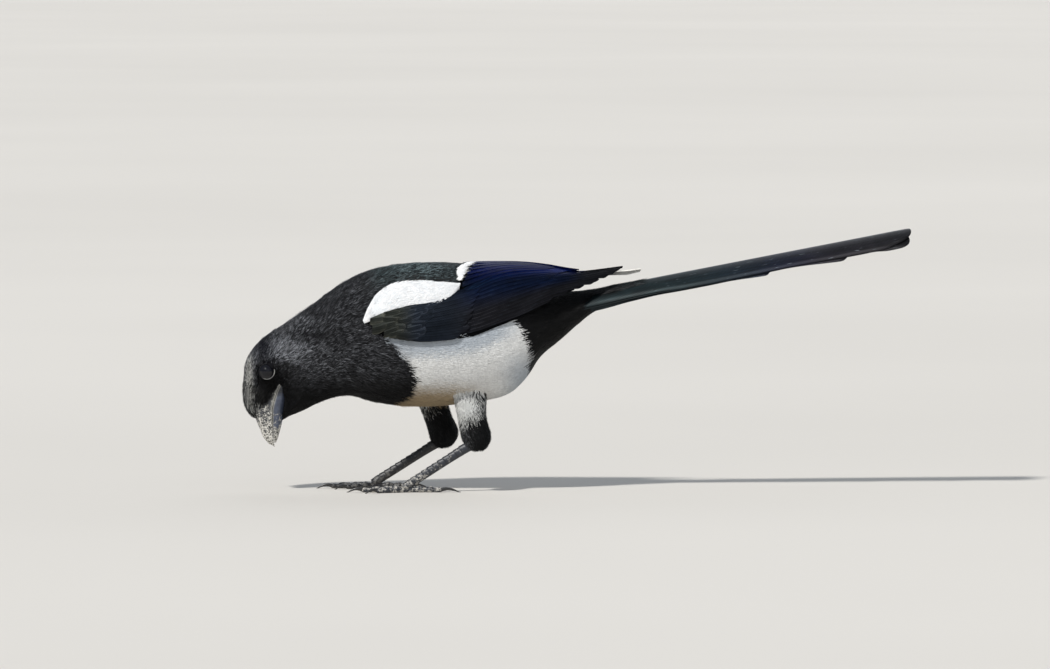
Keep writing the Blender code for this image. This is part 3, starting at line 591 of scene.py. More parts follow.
def painted_glint_field(points):
    """Share of a black feather's barbs painted as highlights there, and their linear colour."""
    x, z = points[..., 0], points[..., 2]
    share = 0.26 * between(z, 58.0, 80.0) * between(-x, 96.0, 108.0) + 0.01
    for strength, middle, half in SHINING:
        share = share + strength * blot(x, z, middle, half)
    for strength, middle, half in DULL:
        share = share * (1.0 - strength * blot(x, z, middle, half))
    # A painted highlight: a pale stripe down the forehead, beside its middle line.
    brow_highlight = np.exp(-((x + 200.2) / 2.6) ** 2) * between(z, 46.0, 53.0) * between(-z, -88.0, -76.0)
    brow_highlight = brow_highlight * between(np.abs(points[..., 1]), 1.5, 4.0)
    share = share + 5.0 * brow_highlight * (0.6 + 0.4 * between(-z, -74.0, -62.0))
    share = share * (1.0 - 0.6 * blot(x, z, *EAR_LINE))
    back = between(z, 120.0, 130.0) * between(x, -132.0, -118.0)
    share = share + 0.24 * back + 1.1 * blot(x, z, *BACK_GLINT)
    # Colours of the painted highlights: silver, teal on the back, near white on the forehead.
    painted_highlight, teal_highlight, dust_and_highlight = colour_rows("#b2b5bc", "#93a8ac", "#eeeee8")
    return np.clip(share, 0.0, MOST_HIGHLIGHT), tinted(tinted(painted_highlight, dust_and_highlight, brow_highlight), teal_highlight, back)


# %% [markdown]
# ## What feathers are made of
#
# A feather is keratin, grown as a shaft with rows of fine barbs. Black barbs hold grains of
# melanin and drink the light, with a soft blue-grey sheen where they face it. White barbs
# hold none and scatter the light like frosted glass. Each feather's own colour, with the light,
# shade and highlights painted into it, is stored on its mesh, so one material serves a whole
# coat.

# %% Plumage materials
# A barb is a tenth of a millimetre wide. That is too fine to show, so the streaks are drawn
# seven times as wide, and a fifth of a millimetre deep.
BARB_STREAK, BARB_RELIEF = 0.7143, 0.2


def barbs(name, hexes, streak, **shader):
    """Material of feathers: the mesh's own colour, broken up by streaks so many mm wide."""
    made, tree, main = material(name, **shader)
    place = node(tree, "TexCoord")
    grain = node(tree, "TexNoise", {"Vector": place.outputs["Object"], "Scale": cells(streak),
                                    "Detail": 2.0})
    shade = node(tree, "ValToRGB", {0: grain.outputs[0]},
                 stops=((0.3, linear(hexes[0])), (0.7, linear(hexes[1]))))
    raised = node(tree, "Bump", {"Strength": 0.35, "Distance": MM * BARB_RELIEF,
                                 "Height": grain.outputs[0]})
    plug(tree, main, Base_Color=on_own_colour(tree, shade.outputs[0]), Normal=raised.outputs[0])
    return made


# Loose black barbs, grown with open edges: soft, velvety, with a faint cool sheen.
black_barbs = barbs("Melanin black contour feather", ("#c8c8c8", "#ffffff"), BARB_STREAK,
                    Roughness=0.50, IOR=1.54, Specular_IOR_Level=0.13, Sheen_Weight=0.02,
                    Sheen_Roughness=0.4)
# White barbs without pigment: matt and bright, because the light comes back from inside.
white_barbs = barbs("Unpigmented white contour feather", ("#ececec", "#ffffff"), BARB_STREAK,
                    Roughness=0.8, IOR=1.54, Specular_IOR_Level=0.25)
# Down: short barbs that don't hook together, grown under the coat. It is matt and tangled.
under_down = barbs("Down feather under the coat", ("#dcdcdc", "#ffffff"), 1.111, Roughness=0.9,
                   IOR=1.54, Specular_IOR_Level=0.15)
print("feather keratin:", black_barbs.name, "/", white_barbs.name, "/", under_down.name)

# %% [markdown]
# ## One skin for the whole bird
#
# Under the coat there is one closed skin from the bill to the tail, with the two thighs grown
# out of it. It replaces the solids of the head, neck, back, breast, belly, vent and thighs,
# and lies deeper than they do by the depth of the coat. Under the wings it sinks further, to
# make room for them.

# %% Thighs
# The heel and the ball of the foot as (x, y, z), then the middle of the feathered thigh from
# its top to below the heel as (x, z), with its half width and half depth.
LEGS = {
    "left": ((-64.4, -17.5, 29.4), (-103.6, -18.5, 4.2)),
    "right": ((-83.8, 17.5, 29.4), (-122.8, 18.5, 4.6)),
}
THIGHS = {
    "left": ((-66.0, 66.0), (-65.5, 58.0), (-64.8, 50.0), (-63.8, 43.0), (-62.3, 37.0),
             (-61.5, 31.5), (-61.2, 27.5), (-61.2, 25.2), (-61.2, 24.8)),
    "right": ((-93.0, 66.0), (-90.6, 58.0), (-87.6, 50.0), (-85.0, 43.0), (-82.4, 37.0),
              (-81.8, 31.5), (-82.2, 27.2), (-82.8, 24.8), (-82.8, 24.4)),
}
THIGH_RADII = ((7.6, 10.0), (7.8, 9.6), (7.2, 8.6), (7.0, 8.4), (7.0, 8.9), (6.4, 8.2),
               (4.8, 5.8), (2.4, 2.8), (0.6, 0.6))
THIGH_END, HEEL_ROW = len(THIGH_RADII) - 1.0, 5.5


def thigh(label):
    """Surface of one thigh: along it in rows of its table from the belly, and round it."""
    def surface(down, turn, lift=0.0):
        down = np.clip(down, 0.0, THIGH_END)
        middle, radii = curve(THIGHS[label], down), curve(THIGH_RADII, down)
        # Its top leans in under the belly, and below the heel a lifted point also sinks.
        y = LEGS[label][0][1] * (1.0 - 0.35 * between(middle[..., 1], 47.0, 63.0))
        out_x, out_y = (radii[..., 1] + lift) * np.cos(turn), (radii[..., 0] + lift) * np.sin(turn)
        sink = np.clip(down - HEEL_ROW, 0.0, None) * lift * 0.5
        return np.stack([middle[..., 0] + out_x, y + out_y, middle[..., 1] - sink + 0.0 * turn], -1)
    return surface


# %% [markdown]
# The skin's flat map gives every root of a feather a place of its own. The body's tube is cut
# open along its underside and laid flat, and the two thighs lie above it side by side.

# %% Skin map
def skin_unwrap(u, turn):
    """Place of a body point on the skin's flat map."""
    return np.stack([0.02 + 0.96 * np.clip(u / LAST_RIB, 0.0, 1.0),
                     0.02 + 0.76 * (turn / (2 * math.pi) + 0.5)], -1)


def thigh_unwrap(down, turn, side):
    return np.stack([0.03 + 0.46 * np.clip(down / THIGH_END, 0.0, 1.0) + (0.5 if side > 0 else 0.0),
                     0.82 + 0.15 * (turn / (2 * math.pi) + 0.5)], -1)


# %% Skin
# The coat's depth along the ribs, and how deep the skin lies under the wings.
COAT = ((0.0, 0.5), (2.0, 0.7), (5.0, 1.0), (8.0, 1.5), (11.0, 1.8), (19.0, 1.5))
WING_ROOM = 4.4
SKIN_ROWS, SKIN_SIDES = 190, 112


def coat_depth(u):
    return table(u, *zip(*COAT))


def skin_object(name, rings):
    points, faces = closed_tube(rings)
    return piece(name, points, outwards(points, faces), [], sharp=None)


u = np.linspace(0.0, TAIL_RIB, SKIN_ROWS)[:, None]
turn = np.linspace(-math.pi, math.pi, SKIN_SIDES, endpoint=False)[None, :]
inset = -coat_depth(u) + 0.0 * turn
inset = inset - (WING_ROOM + inset) * under_wing(body(u, turn))
skin = skin_object("skin", body(u, turn, inset))
for label in LEGS:
    down = np.linspace(0.0, THIGH_END, 40)[:, None]
    inset = -0.9 * between(-down, -THIGH_END, 1.0 - THIGH_END)
    leg = skin_object("skin_leg", thigh(label)(down, turn[:, ::2], inset))
    fuse = skin.modifiers.new("grow", "BOOLEAN")
    fuse.operation, fuse.object, fuse.solver = "UNION", leg, "EXACT"
    grown = bpy.data.meshes.new_from_object(
        skin.evaluated_get(bpy.context.evaluated_depsgraph_get()))
    skin.modifiers.remove(fuse)
    skin.data = grown
    bpy.data.objects.remove(leg, do_unlink=True)

# %% [markdown]
# The skin has the coat's own markings, with their painted light and shade, a little darker
# than the feathers, so that a gap between two of them never shows as a speck.

# %% Skin colours
SKIN_WHITE_LOW = {"left": 42.0, "right": 47.0}
spots = np.empty(3 * len(skin.data.vertices), np.float32)
skin.data.vertices.foreach_get("co", spots)
spots = spots.reshape(-1, 3) / MM
pale = is_white(spots) & (spots[:, 2] > np.where(
    spots[:, 1] < 0.0, SKIN_WHITE_LOW["left"], SKIN_WHITE_LOW["right"]))
shade = skin.data.color_attributes.new("plumage", "FLOAT_COLOR", "POINT")
tone = plumage_colour(spots, pale) * np.where(pale, 0.97, 0.7)[:, None]
shade.data.foreach_set("color", opaque(tone).astype(np.float32).ravel())
skin.data.materials.clear()
skin.data.materials.append(under_down)
skin.data.shade_smooth()
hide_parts("head", "neck", "back", "breast", "belly", "vent", "thigh_left", "thigh_right")
print("skin:", len(skin.data.vertices), "points")

# %% [markdown]
# ## The coat
#
# A contour feather a centimetre long shows only its soft tip, the rest lies under its
# neighbours. Hair strands would make fur, so each feather is a small fan of five thin solid
# blades, raised along the middle, that starts in the skin and ends on the coat's surface. All
# of them point from the bill to the tail. They are smallest on the face and largest on the
# belly.
#
# Their roots are spread evenly by a low-discrepancy sequence, which avoids both rows and
# clumps: it steps round the unit square by amounts that never repeat. A third step picks which
# of the places are used, by the area round each and the distance wanted.

# %% Roots
# The sequence's steps are the powers of the root of x^4 = x + 1, turned over.
EVEN_STEPS = (0.8191725134, 0.6710436067, 0.5497004779)
SEED = {"body": 100, "thigh": 300, "apron": 320, "bristles": 40, "wing": 60, "shoulder": 80,
        "back": 85, "tail": 90}


def speeds(surface, u, v, step=2e-3):
    """Points of a surface, and how far they move for each unit of u and of v."""
    here = surface(u, v)
    return here, (surface(u + step, v) - here) / step, (surface(u, v + step) - here) / step


def spread(surface, low, high, spacing, keep, rng, most=400_000):
    """Roots (u, v) all over part of a surface, as far apart as spacing(u) says."""
    low, high = np.array(low), np.array(high)
    steps = np.arange(most)[:, None] * np.array(EVEN_STEPS) + rng.random(3)
    u, v = (low + (high - low) * (steps[:, :2] % 1.0)).T
    here, along, aside = speeds(surface, u, v, 1e-3)
    area = np.linalg.norm(np.cross(along, aside), axis=-1) * np.prod(high - low) / most
    chosen = steps[:, 2] % 1.0 < area / spacing(u) ** 2
    chosen &= keep(u, v, here)
    return u[chosen], v[chosen], here[chosen]


# %% [markdown]
# A blade has five points: its root under the skin, two sides and a ridge at its widest place,
# and its tip. The blades of a tuft fan out from one root, each a little longer or shorter and
# turned a little, since no two barbs of a real feather's tip end alike.

# %% Tufts
BLADE_FACES = np.array(((0, 1, 3), (0, 3, 2), (0, 2, 1), (4, 3, 1), (4, 2, 3), (4, 1, 2)))
BLADE_POINTS = 5
# Length of feather that has a blade's full width, and how deep its middle lies.
FULL_WIDTH_LENGTH, MIDDLE_DEPTH = 8.0, 0.30


def tufts(surface, u, v, length, rng, blades=5, width=0.55, thick=0.09, depth=1.2, rise=0.25,
          fan=0.32, lie=1.0, slant=0.0):
    """Points and faces of fans of blades that grow on a surface from their roots."""
    count = len(u)
    along, aside = (np.linalg.norm(speed, axis=-1) for speed in speeds(surface, u, v)[1:])
    shape = (count, blades)
    angle = slant + np.linspace(-fan, fan, blades) + rng.normal(0.0, 0.09, shape)
    angle = angle + rng.normal(0.0, 0.10, (count, 1))
    reach = (length * rng.uniform(0.82, 1.15, count))[:, None] * rng.uniform(0.75, 1.05, shape)
    reach = reach * (1.0 - 0.25 * np.abs(np.linspace(-1, 1, blades)))
    half = width / 2 * (length[:, None] / FULL_WIDTH_LENGTH) ** 0.35
    half = half * rng.uniform(0.8, 1.2, shape)
    depth = np.broadcast_to(depth, (count,))[:, None] + 0.0 * half
    tip_rise = rise * rng.uniform(0.2, 1.6, shape)
    middle = -MIDDLE_DEPTH * depth
    out = reach[..., None] * np.array((0.0, 0.5, 0.5, 0.5, 1.0))
    off = half[..., None] * np.array((0.0, -1.0, 1.0, 0.0, 0.0))
    high = np.stack([-depth, middle, middle, middle + thick, tip_rise], -1)
    c, s = np.cos(angle)[..., None], np.sin(angle)[..., None]
    ahead, across = out * c - off * s, out * s + off * c
    across = across + np.linspace(-0.4, 0.4, blades)[:, None]
    points = surface(u[:, None, None] + lie * ahead / along[:, None, None],
                     v[:, None, None] + across / aside[:, None, None], high)
    faces = (np.arange(count * blades)[:, None, None] * BLADE_POINTS + BLADE_FACES).reshape(-1, 3)
    points = points.reshape(-1, 3)
    patch = np.stack([out / length[:, None, None], across / length[:, None, None] + 0.5], -1)
    return points, outwards(points, faces), patch.reshape(count, -1, 2)


# %% [markdown]
# Each piece of the coat gets a map for the bake. On it every tuft is a small patch at its
# root's place on the skin's own map, so that its colours stay together.

# %% Coat pieces
BAKE_PATCH = 0.003
BRIGHTEST = 0.97


def coat(name, surface, roots, unwrap, length, rng, slot, colours, painted_highlight, white, glint=2.6,
         **how):
    """One piece of the coat, with its colours, and its bake map on the skin's own unwrap.
    The painted highlight holds the share of each feather's blades painted as highlights,
    and their colour."""
    u, v = roots
    blades = how.get("blades", 5)
    points, faces, patch = tufts(surface, u, v, length, rng, **how)
    flat = (unwrap(u, v)[:, None, :] + BAKE_PATCH * (patch - 0.5)).reshape(-1, 2)
    each = (len(u), blades, 1)
    light = rng.uniform(0.6, 1.4, (len(u), 1, 1)) * rng.uniform(0.7, 1.3, each)
    light = np.where(white[:, None, None], 0.98 + 0.06 * (light - 1.0), light)
    # Some blades of the black feathers are painted as highlights, in the highlight's colour.
    share, highlight_colour = painted_highlight
    share = np.where(white, 0.0, share)[:, None, None] * rng.random(each) ** glint
    share = share * rng.uniform(0.1, 1.9, (len(u), 1, 1))
    shades = colours[:, None, :] * light
    shades = shades + (highlight_colour[..., None, :] - shades) * share.clip(0.0, 1.0)
    shades = np.repeat(shades, BLADE_POINTS, axis=1).reshape(-1, 3).clip(0.0, BRIGHTEST)
    which = np.repeat(white.astype(np.int32), len(BLADE_FACES) * blades)
    made = piece(name, points, faces, [black_barbs, white_barbs], which, shades,
                 {"OFBake": flat}, sharp=None)
    return made


# %% [markdown]
# The body's feathers grow by a table: how long they are and how far apart, from the bill to
# the tail. None grow on the eye, on the bare bill, or under a wing where nobody sees them.

# %% Where feathers grow
# Rib, length of a feather there, and distance between feathers.
FEATHER_SIZE = ((0.0, 2.6, 0.76), (1.5, 3.0, 0.80), (4.0, 4.4, 0.90), (6.5, 6.4, 1.12),
                (9.0, 8.4, 1.28), (12.0, 10.5, 1.38), (16.0, 9.5, 1.45), (19.0, 9.0, 1.45),
                (21.0, 8.0, 1.4))
EYE = (-189.2, 73.4)
EYE_OPENING = 4.7
feather_u, feather_length, feather_apart = zip(*FEATHER_SIZE)


def eye_distance(points):
    return np.hypot(points[..., 0] - EYE[0], points[..., 2] - EYE[1])


def further(surface, u, v, reach):
    """The point that lies a feather's reach along the lie from its root."""
    _, along, _ = speeds(surface, u, v)
    return surface(u + reach / np.linalg.norm(along, axis=-1), v)


# The tail's side stays bare behind the vent: first x, top edge there, its rise, and its depth.
TAIL_BARE, TAIL_EDGE, TAIL_SLOPE, TAIL_DEEP = -1.0, 120.6, 0.194, 11.0


def grows(u, v, points):
    """Where feathers have their roots: not under a wing, on the eye or on the bare bill."""
    covered = under_wing(points) > 0.5
    eye = (eye_distance(points) < EYE_OPENING + 0.5) & (np.abs(points[..., 1]) > 8.0)
    bare = (points[..., 0] < FACE_END) & (bare_distance(points[..., 0], points[..., 2]) < 0.2)
    below = TAIL_EDGE + TAIL_SLOPE * points[..., 0] - points[..., 2]
    tail_side = (points[..., 0] > TAIL_BARE) & (below > 3.0) & (below < TAIL_DEEP)
    tail_under = (points[..., 0] > 12.0) & (below > 3.0)
    return ~(covered | eye | bare | tail_side | tail_under)


# %% Body coat
COAT_PARTS = (
    # name, first and last rib, slot, width of a blade, how far the tips rise
    ("coat_face", 0.6, 3.4, "black_plumage", 0.44, 0.30),
    ("coat_head", 3.4, 6.0, "black_plumage", 0.46, 0.38),
    ("coat_neck", 6.0, 8.3, "black_plumage", 0.53, 0.48),
    ("coat_breast", 8.3, 10.4, "black_plumage", 0.58, 0.48),
    ("coat_belly", 10.4, 14.2, "white_plumage", 1.00, 0.12),
    ("coat_vent", 14.2, 20.4, "black_plumage", 0.65, 0.28),
)
# How far along a feather its colour is taken, because its root is hidden.
SHOWN = 0.62


def clumps(u, v):
    """0 to 1 in soft patches: feathers that stick together and stand up a little."""
    waves = np.sin(7.0 * u + 2.5 * np.sin(9.0 * v)) * np.sin(19.0 * v + 2.0 * np.sin(3.0 * u))
    return 0.5 + 0.5 * waves


for number, (name, first, last, slot, width, rise) in enumerate(COAT_PARTS):
    rng = np.random.default_rng(SEED["body"] + number)
    u, v, here = spread(body, (first, -math.pi), (last, math.pi),
                        lambda u: table(u, feather_u, feather_apart), grows, rng)
    # Feathers are shorter beside the bare bill and round the eye, and ahead of the wings.
    size = table(u, feather_u, feather_length)
    at_bill = 0.6 + 0.4 * between(bare_distance(here[:, 0], here[:, 2]), 0.0, 8.0)
    size = np.where(here[:, 0] < FACE_END, size * at_bill, size)
    size = size * (0.45 + 0.55 * between(eye_distance(here) - EYE_OPENING, 0.5, 7.0))
    size = np.where(under_wing(further(body, u, v, size)) > 0.3, 0.5 * size, size)
    shown = further(body, u, v, SHOWN * size)
    white = is_white(shown, rng.normal(0.0, 0.6, len(u)))
    clump = clumps(u, v)[:, None]
    # Between the raised clumps the tone is painted up to a tenth darker, as shade in the folds.
    tone = plumage_colour(shown, white) * (0.90 + 0.10 * clump)
    coat(name, body, (u, v), skin_unwrap, size, rng, slot, tone, painted_glint_field(shown), white,
         depth=coat_depth(u), width=width, rise=rise * (0.4 + 1.6 * clump ** 2), fan=0.26)

# %% [markdown]
# The thighs are feathered to the heel. The near one is white above and black below, with a
# frayed edge, and the far one is almost all black.

# %% Thigh coat
# Where the white ends on each thigh: its height, how much higher it ends towards the back, and
# the share of white feathers above it.
THIGH_WHITE = {"left": (43.5, 0.55, 0.94), "right": (46.0, 0.3, 0.35)}
BELLY_COVERS = 65.0
for side, label in ((-1, "left"), (1, "right")):
    rng = np.random.default_rng(SEED["thigh"] + side)
    surface = thigh(label)
    u, v, _ = spread(surface, (0.1, -math.pi), (7.9, math.pi), lambda u: 1.05 + 0.0 * u,
                     lambda u, v, p: p[..., 2] < BELLY_COVERS, rng, 60_000)
    length = 10.5 - 7.0 * between(u, 3.0, 6.5)
    shown = further(surface, u, v, SHOWN * length)
    ends, slope, most = THIGH_WHITE[label]
    behind = shown[:, 0] - curve(THIGHS[label], u)[:, 0]
    white = shown[:, 2] - slope * behind + rng.normal(0.0, 2.2, len(u)) > ends
    white &= rng.random(len(u)) < most - 0.45 * between(behind, 0.0, 6.0)
    tone = np.where(white[:, None], colour_rows("#d3d4d1")[0], colour_rows("#09090a")[0])
    # Blades on the near thigh's front are painted as grey highlights, where the light catches it.
    front = 0.9 * between(-behind, 0.0, 6.0) * (label == "left") + 0.06
    coat("coat_thigh_" + label, surface, (u, v),
         lambda u, v, side=side: thigh_unwrap(u, v, side), length, rng, "black_plumage", tone,
         (front, colour_rows("#7d7f82")[0] + 0.0 * tone), white, depth=0.9, rise=0.7, fan=0.42)

# %% [markdown]
# The belly's lowest feathers hang over the top of each thigh, so that no edge shows where the
# leg comes out. They grow on the thigh's own surface, pushed out to the belly's side.

# %% Feathers over the thighs
BELLY_RIBS = range(8, 17)


def belly_side(x, z):
    """How far out the belly's side stands at the side view's point (x, z)."""
    row = curve(RIBS, np.interp(x, RIBS[BELLY_RIBS, 2] + 1.0, BELLY_RIBS))
    middle, tall = (row[..., 1] + row[..., 3]) / 2, (row[..., 1] - row[..., 3]) / 2
    high = np.clip(np.abs(z - middle) / tall, 0.0, 1.0)
    return row[..., 4] * (1.0 - high ** SQUARENESS) ** (1 / SQUARENESS)


def apron(label):
    bare, out = thigh(label), math.copysign(1.0, LEGS[label][0][1])

    def surface(down, turn, lift=0.0):
        points = bare(down, turn, lift + 0.3)
        side = np.maximum(out * points[..., 1], belly_side(points[..., 0], points[..., 2]) + lift)
        points[..., 1] = np.where(out * np.sin(turn) > -0.2, out * side, points[..., 1])
        return points
    return surface


for side, label in ((-1, "left"), (1, "right")):
    rng = np.random.default_rng(SEED["apron"] + side)
    surface = apron(label)
    u, v, here = spread(surface, (0.05, -math.pi), (1.9, math.pi), lambda u: 1.25 + 0.35 * u,
                        lambda u, v, p: u < 2.0, rng, 30_000)
    behind = here[:, 0] - curve(THIGHS[label], u)[:, 0]
    most = 0.96 - 0.5 * between(behind, 0.0, 8.0) if side < 0 else 0.7
    white = rng.random(len(u)) < most
    tone = plumage_colour(here, white)
    if side < 0:
        tone = np.where(white[:, None], colour_rows("#e2e3e1")[0], tone)
    tone = tone * (0.7 + 0.3 * rng.random((len(u), 1)))
    coat("coat_apron_" + label, surface, (u, v),
         lambda u, v, side=side: thigh_unwrap(u, v, side), 8.0 + 4.0 * rng.random(len(u)), rng,
         "white_plumage", tone, (0.0 * u, tone), white, depth=1.2, rise=0.5,
         width=0.75, fan=0.30)


# %% [markdown]
# ## The bill
#
# A crow's bill is bone under a horn sheath. The two halves are lofts through the outlines
# above: the culmen on top, the cutting edge, and the gonys below, with the half width at each
# height, since this bill points straight down. Between the halves a dark line stays open.

# %% Bill material
# Keratin horn, grown in layers and polished by use: blue-black, glossy, with fine growth
# lines. Dried mud from probing sticks to its lower part: pale, matt and grainy.
# Widths of the growth lines, of a clod of mud and of its grit, the depth of the mud's relief,
# and the height below which it lies thickest.
GROWTH_LINE, CLOD, GRIT, MUD_RELIEF, MUD_FULL = 2.857, 3.03, 0.7692, 0.6, 30.0


def horn_of(name, mud_starts, starting_share):
    """Horn of one half of the bill, with dried mud from a height down to the tip."""
    made, tree, shader = material(name, IOR=1.55, Specular_IOR_Level=0.5)
    where = node(tree, "TexCoord").outputs["Object"]
    height = node(tree, "SeparateXYZ", {0: where}).outputs[2]
    lines = node(tree, "TexNoise", {"Vector": where, "Scale": cells(GROWTH_LINE), "Detail": 4.0})
    clod = node(tree, "TexNoise", {"Vector": where, "Scale": cells(CLOD), "Detail": 6.0,
                                   "Roughness": 0.80})
    speck = node(tree, "TexNoise", {"Vector": where, "Scale": cells(GRIT), "Detail": 2.0})
    low_down = node(tree, "MapRange", {0: height, 1: MM * mud_starts, 2: MM * MUD_FULL,
                                       3: starting_share, 4: 0.27})
    mud_share = node(tree, "Math", {0: clod.outputs[0], 1: low_down.outputs[0]}, operation="ADD")
    mud_mask = node(tree, "ValToRGB", {0: mud_share.outputs[0]},
                    stops=((0.60, grey(0)), (0.66, grey(1))))
    layers = node(tree, "ValToRGB", {0: lines.outputs[0]},
                  stops=((0.30, grey(0.5)), (0.72, grey(1.0))))
    mud_tint = node(tree, "ValToRGB", {0: speck.outputs[0]},
                    stops=((0.40, linear("#3b3834")), (0.54, linear("#d9d6ce"))))
    tint = node(tree, "Mix", {0: mud_mask.outputs[0], 6: on_own_colour(tree, layers.outputs[0]),
                              7: mud_tint.outputs[0]}, data_type="RGBA")
    gloss = node(tree, "MapRange", {0: mud_mask.outputs[0], 3: 0.27, 4: 0.92})
    raised = node(tree, "Math", {0: mud_share.outputs[0], 1: mud_mask.outputs[0]},
                  operation="MULTIPLY")
    relief = node(tree, "Bump", {"Strength": 0.6, "Distance": MM * MUD_RELIEF,
                                 "Height": raised.outputs[0]})
    plug(tree, shader, Base_Color=tint.outputs[2], Roughness=gloss.outputs[0],
         Normal=relief.outputs[0])
    return made


horn = {"upper": horn_of("Bill horn under dust and mud", 57.5, 0.05),
        "lower": horn_of("Bill horn with dried mud", 52.0, -0.04)}

# %% Bill halves
# How high the horn reaches into the face, and the height where it darkens towards its root.
BILL_TOP, ROOT_FROM = 65.9, {"upper": 53.0, "lower": 56.5}
BILL_TONE = {"upper": "#3d4047", "lower": "#525a6d"}
for half, (tip, *_) in HALVES.items():
    z = tip + (BILL_TOP - tip) * np.linspace(0.0, 1.0, 60)[:, None] ** 1.4
    angle = np.linspace(-math.pi / 2, math.pi / 2, 40)[None, :]
    inner, outer, width = bill_profile(z, half)
    x = inner + (outer - inner) * np.cos(angle).clip(0.0, 1.0) ** 0.8
    rings = np.stack([x, width * np.sin(angle), z + 0.0 * angle], -1)
    points, faces = closed_tube(rings)
    # Dried spit and dust draw a pale line along the mouth, on both cutting edges.
    main, line = colour_rows(BILL_TONE[half], "#a9a79f")
    ring_share = np.cos(angle) ** 0.8 + 0.0 * z
    pale = between(-ring_share, -0.15, -0.04) * between(-z, -BILL_TOP, -BILL_TOP + 2.0)
    root = between(z, ROOT_FROM[half], ROOT_FROM[half] + 5.0) * (1.0 - pale)
    tone = (tinted(main, line, pale) * (1.0 - 0.8 * root[..., None])).reshape(-1, 3)
    tone = np.concatenate([tone, tone[:1], tone[-1:]])
    made = piece("bill_" + half + "_horn", points, outwards(points, faces), [horn[half]],
                 colours=tone)
    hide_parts("bill_" + half)

# %% [markdown]
# Stiff bristles grow forward from the face over the root of the bill and hide the nostrils.
# They are the only feathers here that point towards the tip. Each is a narrow bundle of
# blades that lies on whichever stands further out, the face or the bill.

# %% Bristles
def mask(u, turn, lift=0.0):
    """The face's surface, pushed out where the bill's root would cover it."""
    points = body(np.clip(u, 0.0, None), turn, lift)
    side = bill_side(points[..., 0], points[..., 2]) + 0.3 + np.maximum(lift, -0.1)
    pushed = np.sign(points[..., 1]) * np.maximum(np.abs(points[..., 1]), side)
    points[..., 1] = np.where(side > 1.2, pushed, points[..., 1])
    return points


def bristly(u, v, points):
    """Bristles grow ahead of the eye and round the bare bill."""
    ahead = (eye_distance(points) > EYE_OPENING + 3.5) & (points[..., 0] < -183.5)
    return ahead & (bare_distance(points[..., 0], points[..., 2]) > 0.3)


rng = np.random.default_rng(SEED["bristles"])
u, v, here = spread(mask, (0.8, -1.75), (3.3, 1.75), lambda u: 0.85 + 0.1 * u, bristly, rng,
                    60_000)
length = 4.5 + 5.5 * rng.random(len(u)) * between(u, 0.6, 2.4)
black, painted_highlight = colour_rows("#08080a", "#c9c9c4")
# They get painted highlights where they lie low on the bill, and in the pale stripe down
# the forehead.
bristle_highlight = 1.3 * between(-here[:, 2], -58.0, -50.0) + 0.05
brow_highlight = np.exp(-((here[:, 0] + 199.6) / 2.0) ** 2) * between(np.abs(here[:, 1]), 1.5, 3.5)
coat("bristles", mask, (u, v), skin_unwrap, length, rng, "black_plumage",
     black + np.zeros((len(u), 3)), (np.maximum(bristle_highlight, 6.0 * brow_highlight), painted_highlight + 0.0 * here),
     np.zeros(len(u), bool), glint=3.5, blades=3, width=0.5, depth=0.5, rise=0.8, fan=0.10,
     lie=-1.0)

# %% [markdown]
# ## The eyes
#
# A magpie's eye is a ball with a clear cornea over a very dark brown iris, set behind a thin
# bare rim of lid. Only its front shows, but the whole ball is modelled and shaded smooth,
# because its curve makes the highlight. The rim is a ring of small beads.

# %% Eye materials
# Cornea over a dark iris: wet and smooth, so it mirrors the lamp as one sharp spot. The
# iris's fibres are a hundredth of a millimetre wide, so they only soften its tone here.
wet_eye, tree, shader = material("Wet cornea over a dark iris", Roughness=0.10, IOR=1.376)
fibres = node(tree, "TexNoise", {"Scale": 900.0, "Detail": 2.0})
iris = node(tree, "ValToRGB", {0: fibres.outputs[0]},
            stops=((0.3, linear("#07070a")), (0.7, linear("#12121a"))))
plug(tree, shader, Base_Color=iris.outputs[0])
# Bare lid: thin horny skin in fine scales, greyer and smoother than the plumage. They are
# finer than a pixel too, and give it a dry, broken tone.
lid_skin, tree, shader = material("Scaled eyelid skin", Roughness=0.45, IOR=1.45)
scales = node(tree, "TexVoronoi", {"Scale": 1800.0})
crease = node(tree, "ValToRGB", {0: scales.outputs["Distance"]},
              stops=((0.1, grey(1.0)), (0.6, grey(0.6))))
relief = node(tree, "Bump", {"Strength": 0.5, "Distance": MM * 0.2,
                             "Height": scales.outputs["Distance"]})
plug(tree, shader, Base_Color=on_own_colour(tree, crease.outputs[0]), Normal=relief.outputs[0])

